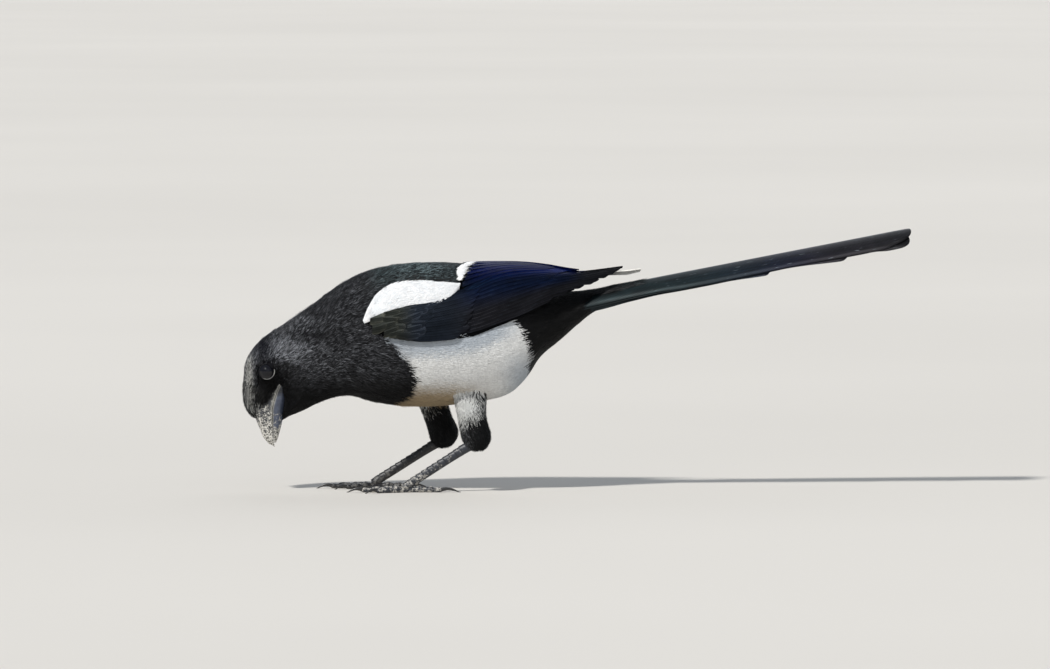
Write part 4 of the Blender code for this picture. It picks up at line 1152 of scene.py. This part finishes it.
# %% Eyes and lids
# Radius and half thickness of the lid's ring, and how many beads it has.
LID_RING, LID_THICK, LID_BEADS = 4.72, 0.21, 40
for side, label in ((-1, "left"), (1, "right")):
    low, high = (np.array(corner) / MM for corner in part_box("eye_" + label))
    centre, radius = (low + high) / 2, (high - low).max() / 2
    lean = np.linspace(0.0, math.pi, 40)[:, None]
    around = np.linspace(0.0, 2 * math.pi, 64, endpoint=False)[None, :]
    # The cornea stands a little further out than the ball round it.
    bulge = radius * (1.0 + 0.09 * np.exp(-(lean / 0.50) ** 2))
    rings = centre + np.stack([bulge * np.sin(lean) * np.cos(around),
                               side * (bulge * np.cos(lean) + 0.0 * around),
                               bulge * np.sin(lean) * np.sin(around)], -1)
    points, faces = closed_tube(rings)
    eye = piece("eyeball_" + label, points, outwards(points, faces), [wet_eye])
    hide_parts("eye_" + label)

    deep = radius * math.cos(math.asin(EYE_OPENING / radius))
    turn = np.linspace(0.0, 2 * math.pi, 4 * LID_BEADS, endpoint=False)[:, None]
    over = np.linspace(0.0, 2 * math.pi, 14, endpoint=False)[None, :]
    bead = LID_THICK * (1.0 + 0.14 * np.abs(np.sin(turn * LID_BEADS / 2)))
    ring = LID_RING + bead * np.cos(over)
    rings = centre + np.stack([ring * np.cos(turn),
                               side * (deep + 0.25 + 1.25 * bead * np.sin(over) + 0.0 * turn),
                               ring * np.sin(turn)], -1)
    index = np.arange(turn.size * over.size).reshape(turn.size, over.size)
    ahead, beside = np.roll(index, -1, axis=0), np.roll(index, -1, axis=1)
    faces = np.stack([index, beside, np.roll(ahead, -1, axis=1), ahead], -1).reshape(-1, 4)
    points = rings.reshape(-1, 3)
    # The lid is black, with a painted highlight where it faces back and down.
    pale = between(np.cos(turn + math.pi / 4), 0.1, 0.8) + 0.0 * over
    black, wear_and_highlight = colour_rows("#0e0e10", "#c9c8c4")
    tone = tinted(black, wear_and_highlight, pale).reshape(-1, 3)
    rim = piece("lid_" + label, points, outwards(points, faces), [lid_skin], colours=tone)

# %% [markdown]
# ## Vanes
#
# A flight feather is a shaft with a vane on either side, the outer one narrower. It is
# modelled as a thin closed sheet along a path, with a raised shaft, a slight camber and a
# rounded tip, a third of a millimetre thick. The rows lie closer together near the tip, where
# the outline curves most. Its own map measures along and across it in millimetres, for the
# fine ribs of the barbs.

# %% Vane shape
# Places across a vane from one edge to the other; the shaft is in the middle.
VANE_COLUMNS = np.array((-1.0, -0.8, -0.5, -0.22, -0.06, 0.0, 0.06, 0.22, 0.5, 0.8, 1.0))


def vane(place, span, path, half, lift, rows=16, shingle=0.35, base=0.5, round_from=0.78,
         shaft=0.0, thick=0.34, camber=0.12, limits=(0.0, 0.985), tip_lift=0.0, taper=0.0,
         taper_from=2 / 3, widest=0.4):
    """One feather on a surface: grids of its upper and lower points, and of its own map."""
    t = 1 - (1 - np.linspace(0.0, 1.0, rows)) ** 1.6
    centre = curve(path, t * (len(path) - 1))
    wide = half * (base + (1 - base) * smooth(t / widest))
    wide = wide * (1 - taper * between(t, taper_from, 1.0))
    fall = np.clip(t - round_from, 0.0, None) / (1 - round_from)
    wide = wide * np.sqrt(np.clip(1 - fall ** 2, 0.015, 1.0))
    c = VANE_COLUMNS + shaft * (1 - VANE_COLUMNS ** 2)
    p = centre[:, :1] + 0.0 * c
    across = c * wide[:, None]
    q = centre[:, 1:] + across / span(centre[:, :1])
    q = np.clip(q, *limits)
    ridge = 0.20 * np.exp(-(VANE_COLUMNS / 0.05) ** 2) * (1 - 0.6 * t[:, None])
    level = lift - c * shingle + camber * (1 - c ** 2) + tip_lift * t[:, None] ** 2
    depth = thick * (1 - 0.5 * np.abs(c))
    upper = place(p, q, level + ridge + depth / 2)
    lower = place(p, q, level - depth / 2)
    steps = np.linalg.norm(np.diff(upper[:, 5], axis=0), axis=-1)
    out = np.concatenate([[0.0], np.cumsum(steps)])[:, None] + 0.0 * c
    return upper, lower, np.stack([out, across], -1), t[:, None] + 0.0 * c, c + 0.0 * p


def feathers(name, made, material_used):
    """Joins many vanes, each with its grid and colours, into one piece."""
    points, faces, maps, colours, start = [], [], [], [], 0
    for upper, lower, flat, shades in made:
        p, f = closed_sheet(upper, lower)
        points.append(p)
        faces.append(outwards(p, f) + start)
        maps.append(np.concatenate([flat.reshape(-1, 2)] * 2))
        colours.append(np.concatenate([shades.reshape(-1, 3)] * 2))
        start += len(p)
    done = piece(name, np.concatenate(points), np.concatenate(faces), [material_used],
                 colours=np.concatenate(colours), maps={"Vane": np.concatenate(maps)}, sharp=60.0)
    return done


def shades_of(t, c, tone, rng, edge=0.5, edge_power=8.0, tip_hex=None, tip_from=0.85,
              tip_edge=0.0):
    """Colours of one feather: its tone, darker or lighter at its edge, and its tip."""
    share = (np.maximum(np.abs(c), tip_edge * t ** 3) ** edge_power)[..., None]
    colours = tone * rng.uniform(0.85, 1.15) * (1.0 + (edge - 1.0) * share)
    if tip_hex:
        colours = tinted(colours, colour_rows(tip_hex)[0], between(t, tip_from, tip_from + 0.08))
    return colours * rng.uniform(0.9, 1.1, t.shape)[..., None]


# %% [markdown]
# The barbs of a vane hook into each other and make a closed, hard, glossy sheet. They slant
# out from the shaft like the ribs of a leaf. Real ones stand about 0.4 mm apart, and these are
# drawn a little over twice as wide, or they wouldn't show.

# %% Vane materials
BARB_PITCH, VANE_RELIEF = 0.9, 0.06
BARB_SLANT = math.radians(38.0)


def vanes_of(name, streak, scratched, **shader):
    """Material of a closed vane: ribs slant away from the shaft on both sides of it, fine
    streaks run along it, and a few pale scratches where it is worn."""
    made, tree, main = material(name, **shader)
    flat = node(tree, "SeparateXYZ", {0: node(tree, "UVMap", uv_map="Vane").outputs[0]})
    aside = node(tree, "Math", {0: flat.outputs[1]}, operation="ABSOLUTE")
    run = node(tree, "Math", {0: flat.outputs[0], 1: math.sin(BARB_SLANT) / BARB_PITCH},
               operation="MULTIPLY")
    lean = node(tree, "Math", {0: aside.outputs[0], 1: -math.cos(BARB_SLANT) / BARB_PITCH,
                               2: run.outputs[0]}, operation="MULTIPLY_ADD")
    turn = node(tree, "Math", {0: lean.outputs[0], 1: 2 * math.pi}, operation="MULTIPLY")
    wave = node(tree, "Math", {0: turn.outputs[0]}, operation="SINE")
    place = node(tree, "TexCoord")
    wear_and_highlight = node(tree, "TexNoise", {"Vector": place.outputs["Object"], "Scale": cells(streak),
                                   "Detail": 3.0})
    shade = node(tree, "ValToRGB", {0: wear_and_highlight.outputs[0]},
                 stops=((0.25, grey(0.62)), (0.75, grey(1.0))))
    tint = on_own_colour(tree, shade.outputs[0])
    ribs = node(tree, "Bump", {"Strength": 0.4, "Distance": MM * VANE_RELIEF,
                               "Height": wave.outputs[0]})
    # Soft dark streaks are 25 long and one wide, and pale scratches 8 long and half as wide.
    flat_map = node(tree, "UVMap", uv_map="Vane").outputs[0]
    wear = ((25.0, 1.0, (0.35, 0.62), (grey(0.45), grey(1.0)), "MULTIPLY"),
            (25 / 3, 1 / 1.7, (0.69, 0.73), (grey(0.0), linear(scratched)), "ADD"))
    for length, width, limits, tones, kind in wear:
        drawn = node(tree, "VectorMath", {0: flat_map, 1: (1 / length, 1 / width, 1.0)},
                     operation="MULTIPLY")
        noise = node(tree, "TexNoise", {"Vector": drawn.outputs[0], "Scale": 1.0, "Detail": 2.0})
        marks = node(tree, "ValToRGB", {0: noise.outputs[0]}, stops=tuple(zip(limits, tones)))
        tint = node(tree, "Mix", {0: 1.0, 6: tint, 7: marks.outputs[0]}, data_type="RGBA",
                    blend_type=kind).outputs[2]
    plug(tree, main, Base_Color=tint, Normal=ribs.outputs[0])
    return made


# Closed vanes are smooth and hard. Layers of melanin under thin keratin split the light as
# an oil film does, so they shine blue and green like a metal, but only faintly.
blue_vane = vanes_of("Iridescent wing vane", 3.333, "#1c262c", Roughness=0.44, Metallic=0.6,
                     IOR=1.54, Specular_IOR_Level=0.06)
tail_vane = vanes_of("Iridescent tail vane", 4.545, "#6a7378", Roughness=0.42, Metallic=0.5,
                     IOR=1.54, Specular_IOR_Level=0.2)
print("closed vanes:", blue_vane.name, "/", tail_vane.name)

# %% [markdown]
# ## The folded wings
#
# A folded wing is a fan that has been closed. The outer primaries lie lowest and run out to
# the wing's tip, the secondaries lie over them, and the broad tertials close the top. Small
# coverts cover all their roots in rows, like tiles. A closed slab inside carries them all.

# %% Wing core
WING_DEPTH, CORE_SINK, CORE_LOW = 3.6, 0.6, 0.012


def covert_limit(x):
    """How far up the roof the coverts show below the shoulder's white feathers."""
    low = np.array(SHOULDER_LOW)
    edge = across_at(x, table(x, low[:, 0], low[:, 1]))
    return np.where(x < low[0, 0], 1.0, edge) + 0.03 + 0.5 * between(x, -72.0, -66.0)


def wing_core(side):
    """Closed slab that carries the feathers."""
    front = np.linspace(0.0, 1.0, 12)[None, :]
    along = np.linspace(0.0, 1.0, 40)[:, None]
    start = WING_FRONT - WING_FRONT_LEAN * np.sin(math.pi * np.clip(front / 0.7, 0.0, 1.0))
    x = start + (WING_CORE_END - start) * along
    across = front * wing_top(x) * (1.0 - 0.5 * between(x, -40.0, WING_CORE_END)) + CORE_LOW
    return roof(x, across, side, -CORE_SINK), roof(x, across, side, -WING_DEPTH)


# %% [markdown]
# The small coverts at the bend of the wing are nearly black and a little brown. The greater
# coverts are slate, the tertials shine royal blue along the ridge, and the primaries are a
# plain dark brown at their tips.

# %% Wing tones
def wing_tone(points):
    """Linear colour of a closed feather, by its place on the folded wing."""
    x, z = points[..., 0], points[..., 2]
    across = across_at(x, z)
    front, covert, quill, navy, royal = colour_rows("#2b2e2b", "#20262f", "#202024", "#0a162f",
                                                    "#051656")
    cover = tinted(front, covert, between(x, -110.0, -96.0))
    rear = tinted(quill, navy, between(across, 0.20, 0.46))
    rear = tinted(rear, royal, between(across, 0.52, 0.80))
    rear = tinted(rear, quill, between(x, -8.0, 6.0))
    return tinted(cover, rear, between(x, -84.0, -60.0))


# %% [markdown]
# Each feather is drawn along its own path on the wing's roof, given as (x, share of the way up
# the roof), and a later one lies above an earlier one. Two primaries of the far wing have
# slipped out past the near wing's tip, with their white inner webs showing, as in the
# photograph.

# %% Wing feathers
PRIMARY_TIPS = ((-15.0, 0.04), (-5.0, 0.05), (4.0, 0.06), (10.5, 0.075), (15.5, 0.11),
                (20.0, 0.18), (23.5, 0.28), (26.5, 0.42), (29.5, 0.62))
FAR_TIPS, FAR_REACH, FAR_DROP = (6, 7), 12.5, 2.6


def wing_vanes(side, rng):
    """All the flight feathers and coverts of one wing, from the lowest to the highest."""
    def place(x, across, lift):
        return roof(x, np.minimum(across, covert_limit(x)), side, lift)

    def slipped(x, across, lift):
        drop = np.array((0.0, 0.0, FAR_DROP))
        return place(x, across, lift) - drop * between(x, 2.0, 34.0)[..., None]

    def add(path, half, lift, at=place, edge=0.5, edge_power=8.0, tip_hex=None, tip_from=0.85,
            tip_edge=0.0, **how):
        upper, lower, flat, t, c = vane(at, roof_span, path, half, lift, **how)
        shades = shades_of(t, c, wing_tone(upper), rng, edge, edge_power, tip_hex, tip_from,
                           tip_edge)
        (pale if tip_hex else made).append((upper, lower, flat, shades))

    made, pale = [], []
    upper, lower = wing_core(side)
    dark = np.broadcast_to(colour_rows("#0e0f11")[0], upper.shape).copy()
    made.append((upper, lower, 0.0 * upper[..., :2], dark))
    # Primaries, from the lowest.
    for k, (end, across) in enumerate(PRIMARY_TIPS):
        far = side > 0 and k in FAR_TIPS
        end += FAR_REACH if far else rng.uniform(-2.4, 1.2)
        path = ((-96.0 + 2.4 * k, 0.07 + 0.024 * k),
                (end - 18.0, 0.09 + 0.046 * k + 0.007 * max(k - 3, 0) ** 2), (end, across))
        add(path, 3.2 if far else 2.6, 0.12 * k, slipped if far else place, 0.6 if far else 1.5,
            6.0, "#f4f1ea" if far else None, 0.50, rows=26, shaft=-0.35, camber=0.2,
            taper=0.2 if far else 0.55, taper_from=0.75)
    # Secondaries, the upper ones with pale blue edges.
    for k in range(7):
        path = ((-84.0 + 2.2 * k, 0.33 + 0.014 * k), (-46.0, 0.42 + 0.052 * k),
                (-16.0 + 2.6 * k, 0.50 + 0.05 * k))
        add(path, 3.0, 0.95 + 0.06 * k, edge=np.array((1.6, 3.2, 2.2)) if k > 3 else 0.5,
            edge_power=12.0, rows=22, shaft=-0.3)
    # Tertials.
    for k in range(6):
        path = ((-70.0 + 1.4 * k, 0.52 + 0.078 * k), (-44.0, 0.72 + 0.053 * k),
                (-15.0 + 3.2 * k, 0.79 + 0.038 * k))
        add(path, 4.4, 1.40 + 0.09 * k, edge=0.7, edge_power=14.0, rows=22, shaft=-0.15)
    # Greater coverts.
    for k in range(9):
        path = ((-106.0 + 1.6 * k, 0.05 + 0.034 * k), (-69.0 + 1.4 * k + rng.uniform(-2.5, 2.5),
                                                      0.06 + 0.050 * k))
        add(path, 3.1, 1.60 + 0.03 * k, edge=0.7, rows=14, base=0.7, tip_lift=-0.45)
    # Median coverts.
    for k in range(8):
        path = ((-113.0 + 1.2 * k, 0.06 + 0.042 * k), (-93.0 + 1.5 * k + rng.uniform(-2.0, 2.0),
                                                      0.07 + 0.052 * k))
        add(path, 3.0, 2.05, edge=1.3, edge_power=3.0, rows=12, base=0.8, round_from=0.55,
            tip_lift=-0.25)
    # Lesser coverts, like scales with worn pale rims.
    for row in range(8):
        for k in range(7):
            start = -130.0 + 4.1 * row + 1.2 * k + rng.uniform(-1.4, 1.4)
            across = 0.04 + 0.078 * k + 0.039 * (row % 2) + rng.uniform(-0.02, 0.02)
            if start < wing_front(across) - 1.0 or across > covert_limit(start) + 0.03:
                continue
            path = ((start, across), (start + 9.0, across + rng.uniform(0.0, 0.06)))
            rim = np.array((3.8, 3.4, 3.1)) * rng.uniform(0.4, 1.4)
            add(path, 3.6 * rng.uniform(0.85, 1.1), 2.5 - 0.06 * row, edge=rim, edge_power=3.0,
                tip_edge=1.0, rows=12, base=0.85, round_from=0.20, shingle=0.12, tip_lift=0.0,
                camber=0.25)
    return made, pale


for side, label in ((-1, "left"), (1, "right")):
    made, pale = wing_vanes(side, np.random.default_rng(SEED["wing"] + side))
    wing = feathers("wing_feathers_" + label, made, blue_vane)
    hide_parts("wing_" + label)
    if pale:
        feathers("wing_pale_tips_" + label, pale, white_barbs)
    print(len(made) + len(pale) - 1, "feathers on the", label, "wing")

# %% [markdown]
# ## The white shoulders
#
# The long soft feathers of the shoulder hang over the wing's root and cover it with one white
# oval. They are a pad with a coat of loose white tufts, because their vanes don't close.

# %% Shoulders
def shoulder(side):
    """Surface of one white patch: along it from its front, over it from its lower edge."""
    def surface(along, over, lift=0.0):
        low, high = curve(SHOULDER_LOW, 5 * along), curve(SHOULDER_HIGH, 5 * along)
        spot = low + (high - low) * np.clip(over, 0.0, 1.0)[..., None]
        dome = 1.2 * np.sin(math.pi * np.clip(over, 0.0, 1.0)) ** 0.6
        dome = (1.5 + dome) * between(along, -0.15, 0.2)
        return roof(spot[..., 0], across_at(spot[..., 0], spot[..., 1]), side, lift + dome)
    return surface


for side, label in ((-1, "left"), (1, "right")):
    surface, rng = shoulder(side), np.random.default_rng(SEED["shoulder"] + side)
    along, over = np.linspace(0.0, 0.97, 44)[:, None], np.linspace(0.02, 0.98, 24)[None, :]
    upper = surface(along + 0.0 * over, over + 0.0 * along, -0.5)
    lower = surface(along + 0.0 * over, over + 0.0 * along, -4.0)
    points, faces = closed_sheet(upper, lower)
    tone = np.broadcast_to(colour_rows("#e4e7e9")[0], points.shape)
    pad = piece("shoulder_pad_" + label, points, outwards(points, faces), [white_barbs],
                colours=tone, sharp=None)
    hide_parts("shoulder_" + label)
    u, v, _ = spread(surface, (0.0, 0.03), (0.93, 0.97), lambda u: 1.25 + 0.0 * u,
                     lambda u, v, p: v > -1.0, rng, 40_000)
    snow, shade = colour_rows("#fdfdfd", "#e8ecef")
    tone = snow + (shade - snow) * rng.random((len(u), 1)) ** 2
    coat("coat_shoulder_" + label, surface, (u, v),
         lambda u, v: np.stack([0.02 + 0.96 * u, 0.02 + 0.96 * v], -1),
         7.5 * (0.6 + 0.4 * between(u, 0.0, 0.4)) * (1 - 0.35 * between(u, 0.7, 1.0)), rng,
         "white_plumage", tone, (0.0 * u, tone), np.ones(len(u), bool), depth=0.7, rise=0.35,
         width=0.95)

# %% [markdown]
# Behind the shoulders the white patches of both sides almost meet over the back. A few white
# tips lie there over the roots of the wings' top feathers, and point back and a little up.

# %% White tips over the back
def back_tips(side):
    """Surface of the wing's roof above its feathers: along the bird, and up the roof."""
    return lambda x, across, lift=0.0: roof(x, across, side, lift + 2.0)


# Where each bundle of tips starts along the bird and up the roof, and its length.
TIP_ROOTS = ((-74.0, 0.60, 5.0), (-74.5, 0.64, 7.0), (-74.5, 0.68, 8.0), (-74.0, 0.73, 8.5),
             (-73.0, 0.78, 8.5), (-72.0, 0.83, 8.5), (-70.5, 0.88, 8.5), (-69.0, 0.93, 8.0))
TIPS_EACH = 8
for side, label in ((-1, "left"), (1, "right")):
    rng = np.random.default_rng(SEED["back"] + side)
    x, across, length = np.repeat(np.array(TIP_ROOTS), TIPS_EACH, axis=0).T
    x, across = x + rng.uniform(-0.8, 0.8, len(x)), across + rng.normal(0.0, 0.014, len(x))
    tone = colour_rows("#fdfdfd")[0] + np.zeros((len(x), 3))
    coat("coat_back_tips_" + label, back_tips(side), (x, across),
         lambda u, v: np.stack([0.9 + 0.005 * (u + 80.0), 0.02 + 0.96 * v], -1),
         length, rng, "white_plumage", tone, (0.0 * x, tone), np.ones(len(x), bool),
         depth=1.4, rise=0.1, width=0.7, fan=0.13, slant=0.25)

# %% [markdown]
# ## The tail
#
# Twelve feathers make the tail. The middle pair is the longest and lies on top of all the
# others, so from the side the tail is one long blade with a stack of edges below it. The tail
# shines green at its root, blue and purple towards its end, and is nearly black at the tip.

# %% Tail sizes
# Its root as (x, z), how steeply it rises, how high its top lies above the root, and how far
# each pair lies below the one before.
TAIL_ROOT, TAIL_RISE = (2.0, 116.5), math.radians(11.0)
TAIL_TOP, TAIL_STEP = 4.5, 0.95
# How far each pair reaches from the root, its distance from the middle, and its half width.
TAIL_REACH = (205.5, 203.5, 166.0, 147.0, 117.5, 104.0)
TAIL_CENTRE, TAIL_HALF_FEATHER = 6.0, 11.0
# How steeply the tail falls to both sides, along it.
TAIL_ROOFED = ((0.0, 0.056), (14.0, 0.052), (27.0, 0.043), (45.0, 0.0345), (60.0, 0.0325),
               (73.0, 0.0312), (104.0, 0.0300), (135.0, 0.0285), (160.0, 0.0305), (206.0, 0.0320))
# How far sideways a feather's tip moves, how much narrower it gets there, and from where on.
TAIL_PARTING, TAIL_TAPER = (-0.1, 6.2, 3.0, 0.8, 3.0, 0.8), (0.34, 0.45, 0.12, 0.1, 0.12, 0.1)
TAIL_FROM = (0.90, 0.90, 0.70, 0.70, 0.70, 0.70)
# The gloss's colour along it.
TAIL_SHINE = ((0.0, "#1a2629"), (60.0, "#1c2a2e"), (100.0, "#1a2530"), (128.0, "#191d2f"),
              (150.0, "#222129"), (190.0, "#222125"), (206.0, "#18171a"))
print("tail", max(TAIL_REACH), "mm long past its root")


# %% Tail feathers
def tail_surface(side):
    """Surface of one side of the tail: along it from its root, and out from its middle."""
    def place(reach, y, lift):
        y = side * y
        together = 1.0 - 0.7 * np.clip((y / 17.0) ** 2, 0.0, 1.0)
        high = TAIL_TOP + lift * together - table(reach, *zip(*TAIL_ROOFED)) * y ** 2
        return np.stack([TAIL_ROOT[0] + reach * math.cos(TAIL_RISE) - high * math.sin(TAIL_RISE),
                         y, TAIL_ROOT[1] + reach * math.sin(TAIL_RISE)
                         + high * math.cos(TAIL_RISE)], -1)
    return place


def tail_feathers(rng):
    made = []
    reaches = [reach for reach, _ in TAIL_SHINE]
    shine = colour_rows(*(code for _, code in TAIL_SHINE))
    for order, end in enumerate(TAIL_REACH):
        for side in (-1, 1):
            drop = TAIL_STEP * (order + 1) if order else (0.0 if side < 0 else TAIL_STEP)
            t = np.linspace(0.0, 1.0, 21)
            # The two longest feathers of a side part at their tips, others slip out below.
            parting = TAIL_PARTING[order] * between(t, TAIL_FROM[order], 1.0)
            centre = TAIL_CENTRE - 0.2 * order * t + parting
            start = 0.0 if order < 2 else 5.0
            path = np.stack([start + (end - start) * t, centre], -1)
            limits = (0.3, 40.0) if order else (-40.0, 40.0)
            upper, lower, flat, t, c = vane(
                tail_surface(side), lambda p: 1.0, path, TAIL_HALF_FEATHER, -drop, rows=46,
                shingle=0.0, base=0.62, round_from=0.962, shaft=-0.25, limits=limits, camber=0.1,
                widest=80.0 / (end - start), taper=TAIL_TAPER[order], taper_from=TAIL_FROM[order])
            reach = start + (end - start) * t
            tone = table(reach, reaches, shine) * rng.uniform(0.88, 1.12)
            made.append((upper, lower, flat, shades_of(t, c, tone, rng, 0.7, 10.0)))
    return made


tail = feathers("tail_feathers", tail_feathers(np.random.default_rng(SEED["tail"])), tail_vane)
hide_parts("tail")

# %% [markdown]
# ## Bare legs and feet
#
# Below the feathered thigh the leg is bare: a slim bone in a sheath of horny plates, the
# scutes, which overlap down its front and along the top of each toe. The undersides of the
# toes are soft pads. The plates are drawn in the mesh, as small steps along the tube.

# %% Leg material
# Scutes are hard keratin plates, near black and a little glossy, greyed here by dust and by
# dried mud, which lies in patches, most on the near leg and on the toes.
MUD_PATCH, MUD_STARTS, MUD_LOW = 1.923, 22.0, 6.0
scute_horn, tree, shader = material("Horny leg scutes with dust", IOR=1.5, Roughness=0.5)
where = node(tree, "TexCoord").outputs["Object"]
own = node(tree, "Attribute", attribute_name="plumage")
dust = node(tree, "TexNoise", {"Vector": where, "Scale": cells(MUD_PATCH), "Detail": 5.0,
                               "Roughness": 0.75})
apart = node(tree, "SeparateXYZ", {0: where})
low_down = node(tree, "MapRange", {0: apart.outputs[2], 1: MM * MUD_STARTS, 2: MM * MUD_LOW,
                                   3: -0.07, 4: 0.03})
left_leg = node(tree, "MapRange", {0: apart.outputs[1], 1: MM * 6.0, 2: MM * -6.0, 3: 0.2,
                                   4: 1.0})
dust_and_highlight = node(tree, "Math", {0: dust.outputs[0], 1: low_down.outputs[0]}, operation="ADD")
patch = node(tree, "ValToRGB", {0: dust_and_highlight.outputs[0]}, stops=((0.52, grey(0)), (0.60, grey(1))))
share = node(tree, "Math", {0: patch.outputs[0], 1: left_leg.outputs[0]}, operation="MULTIPLY")
tint = node(tree, "Mix", {0: share.outputs[0], 6: own.outputs["Color"], 7: linear("#b6b2aa")},
            data_type="RGBA")
gloss = node(tree, "MapRange", {0: share.outputs[0], 3: 0.42, 4: 0.85})
relief = node(tree, "Bump", {"Strength": 0.5, "Distance": MM * 0.3, "Height": dust.outputs[0]})
plug(tree, shader, Base_Color=tint.outputs[2], Roughness=gloss.outputs[0],
     Normal=relief.outputs[0])
# Claws are hard horn polished by use, glossy and nearly black. Their wear is finer than a
# pixel, so it only greys them.
claw_horn, tree, shader = material("Black claw horn", IOR=1.55, Roughness=0.3)
wear = node(tree, "TexNoise", {"Scale": 500.0, "Detail": 3.0})
tint = node(tree, "ValToRGB", {0: wear.outputs[0]},
            stops=((0.35, linear("#121214")), (0.75, linear("#3a3836"))))
plug(tree, shader, Base_Color=tint.outputs[0])


# %% [markdown]
# A shank, a toe and a claw are all tubes along a path that grow wider and narrower. The plates
# are steps in the upper half of a tube, with a dark line at the end of each.

# %% Tubes
def tube(path, wide, tall, sides=28, plates=None, floor_at=None, hint=(0.0, 0.0, 1.0)):
    """Rings of a tube along a path, with plates = (length of a plate, depth of its step)."""
    path = np.asarray(path, float)
    ahead = np.gradient(path, axis=0)
    ahead /= np.linalg.norm(ahead, axis=1)[:, None]
    aside = np.cross(hint, ahead)
    aside /= np.linalg.norm(aside, axis=1)[:, None]
    up = np.cross(ahead, aside)
    angle = np.linspace(0.0, 2 * math.pi, sides, endpoint=False)[None, :]
    step = 0.0 * angle
    run = np.concatenate([[0.0], np.cumsum(np.linalg.norm(np.diff(path, axis=0), axis=1))])
    if plates:
        share = (run / plates[0] % 1.0)[:, None]
        step = plates[1] * (share - 0.5) * between(np.sin(angle), -0.1, 0.5)
    wide, tall = (np.broadcast_to(v, (len(path),))[:, None] for v in (wide, tall))
    rings = (path[:, None, :] + aside[:, None, :] * ((wide + step) * np.cos(angle))[..., None]
             + up[:, None, :] * ((tall + step) * np.sin(angle))[..., None])
    if floor_at is not None:
        rings[..., 2] = np.maximum(rings[..., 2], floor_at)
    groove = 1.0 - 0.5 * (share > 0.85) if plates else 1.0
    return rings, np.broadcast_to(groove, rings.shape[:2])


def tubes_piece(name, tubes, material_used, hexes):
    points, faces, colours, start = [], [], [], 0
    main, dark = colour_rows(*hexes)
    for rings, groove in tubes:
        p, f = closed_tube(rings)
        points.append(p)
        faces.append(outwards(p, f) + start)
        shade = np.concatenate([groove.reshape(-1), groove[0, :1], groove[-1, :1]])[:, None]
        colours.append(dark + (main - dark) * shade)
        start += len(p)
    made = piece(name, np.concatenate(points), np.concatenate(faces), [material_used],
                 colours=np.concatenate(colours))
    return made


# %% [markdown]
# A perching bird has three toes forward and one behind, which has the longest claw. Each toe
# rests on its pads, and its claw rises a little and comes down to the floor at its tip.

# %% Shanks, toes and claws
# Heading of each toe in degrees from straight ahead, its length, and its claw's length.
TOES = ((-24.0, 20.0, 8.5), (2.0, 27.0, 9.5), (26.0, 20.0, 8.0), (180.0, 20.0, 12.0))
TOE_RADIUS = 2.1
SHANK_PLATE, TOE_PLATE = (3.9, 0.42), (2.4, 0.26)


def shank_tube(label):
    heel, ball_of_foot = (np.array(p) for p in LEGS[label])
    fore = (ball_of_foot - heel) / np.linalg.norm(ball_of_foot - heel)
    end = ball_of_foot - fore * 2.5
    path = [heel + (end - heel) * t for t in (0.0, 0.2, 0.4, 0.7, 1.0)]
    wide, tall = zip((2.7, 3.3), (2.3, 2.9), (2.0, 2.7), (2.0, 2.7), (2.3, 2.7))
    at = np.linspace(0.0, 4.0, 120)
    return tube(curve(path, at), curve(wide, at), curve(tall, at), plates=SHANK_PLATE,
                hint=(-1.0, 0.0, 0.0))


def foot_tubes(label):
    """The ball of the foot and its toes, and the claws."""
    heel, middle = (np.array(p) for p in LEGS[label])
    fore = (middle - heel) / np.linalg.norm(middle - heel)
    at = np.linspace(0.0, 3.0, 24)
    hub = curve([middle - fore * 3.5, middle - fore * 1.5, middle + fore * 1.6,
                 middle + np.array([-3.0, 0.0, -1.4])], at)
    toes = [tube(hub, curve((2.3, 2.8, 3.0, 2.4), at), curve((2.5, 2.8, 2.6, 2.2), at),
                 floor_at=0.0)]
    claws = []
    for heading, length, claw in TOES:
        turn = math.radians(180.0 + heading)
        ahead = np.array([math.cos(turn), math.sin(turn), 0.0])
        root = np.array([middle[0], middle[1], 0.0]) + ahead * 0.5
        t = np.linspace(0.0, 1.0, 60)
        radius = TOE_RADIUS - 0.55 * t + 0.22 * np.cos(6 * math.pi * t)
        radius = radius * np.sqrt(np.clip(1 - ((t - 0.9) / 0.13).clip(0.0, 1.0) ** 2, 0.2, 1.0))
        path = root + ahead * (length * t)[:, None]
        path[:, 2] = radius * 0.86
        toes.append(tube(path, radius * 0.95, radius, sides=20, plates=TOE_PLATE, floor_at=0.0))
        t = np.linspace(0.0, 1.0, 30)
        path = root + ahead * (length - 1.2 + (claw + 1.2) * t)[:, None]
        path[:, 2] = 1.2 + 1.4 * np.sin(math.pi * np.minimum(t * 1.12, 1.0)) - 1.0 * t
        thick = 1.2 * (1 - t) ** 0.8 + 0.12
        claws.append(tube(path, thick * 0.8, thick, sides=14, floor_at=0.0))
    return toes, claws


# The plates' colour and that of the lines between them. The far leg's are painted darker, as
# shade.
LEG_TONE = {"left": ("#2b2e35", "#0f1013"), "right": ("#1b1b1e", "#0b0b0c")}
for label, tones in LEG_TONE.items():
    leg = tubes_piece("leg_" + label, [shank_tube(label)], scute_horn, tones)
    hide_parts("shank_" + label)
    toes, claws = foot_tubes(label)
    foot = tubes_piece("toes_" + label, toes, scute_horn, tones)
    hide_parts("foot_" + label)
    tubes_piece("claws_" + label, claws, claw_horn, ("#222222", "#222222"))
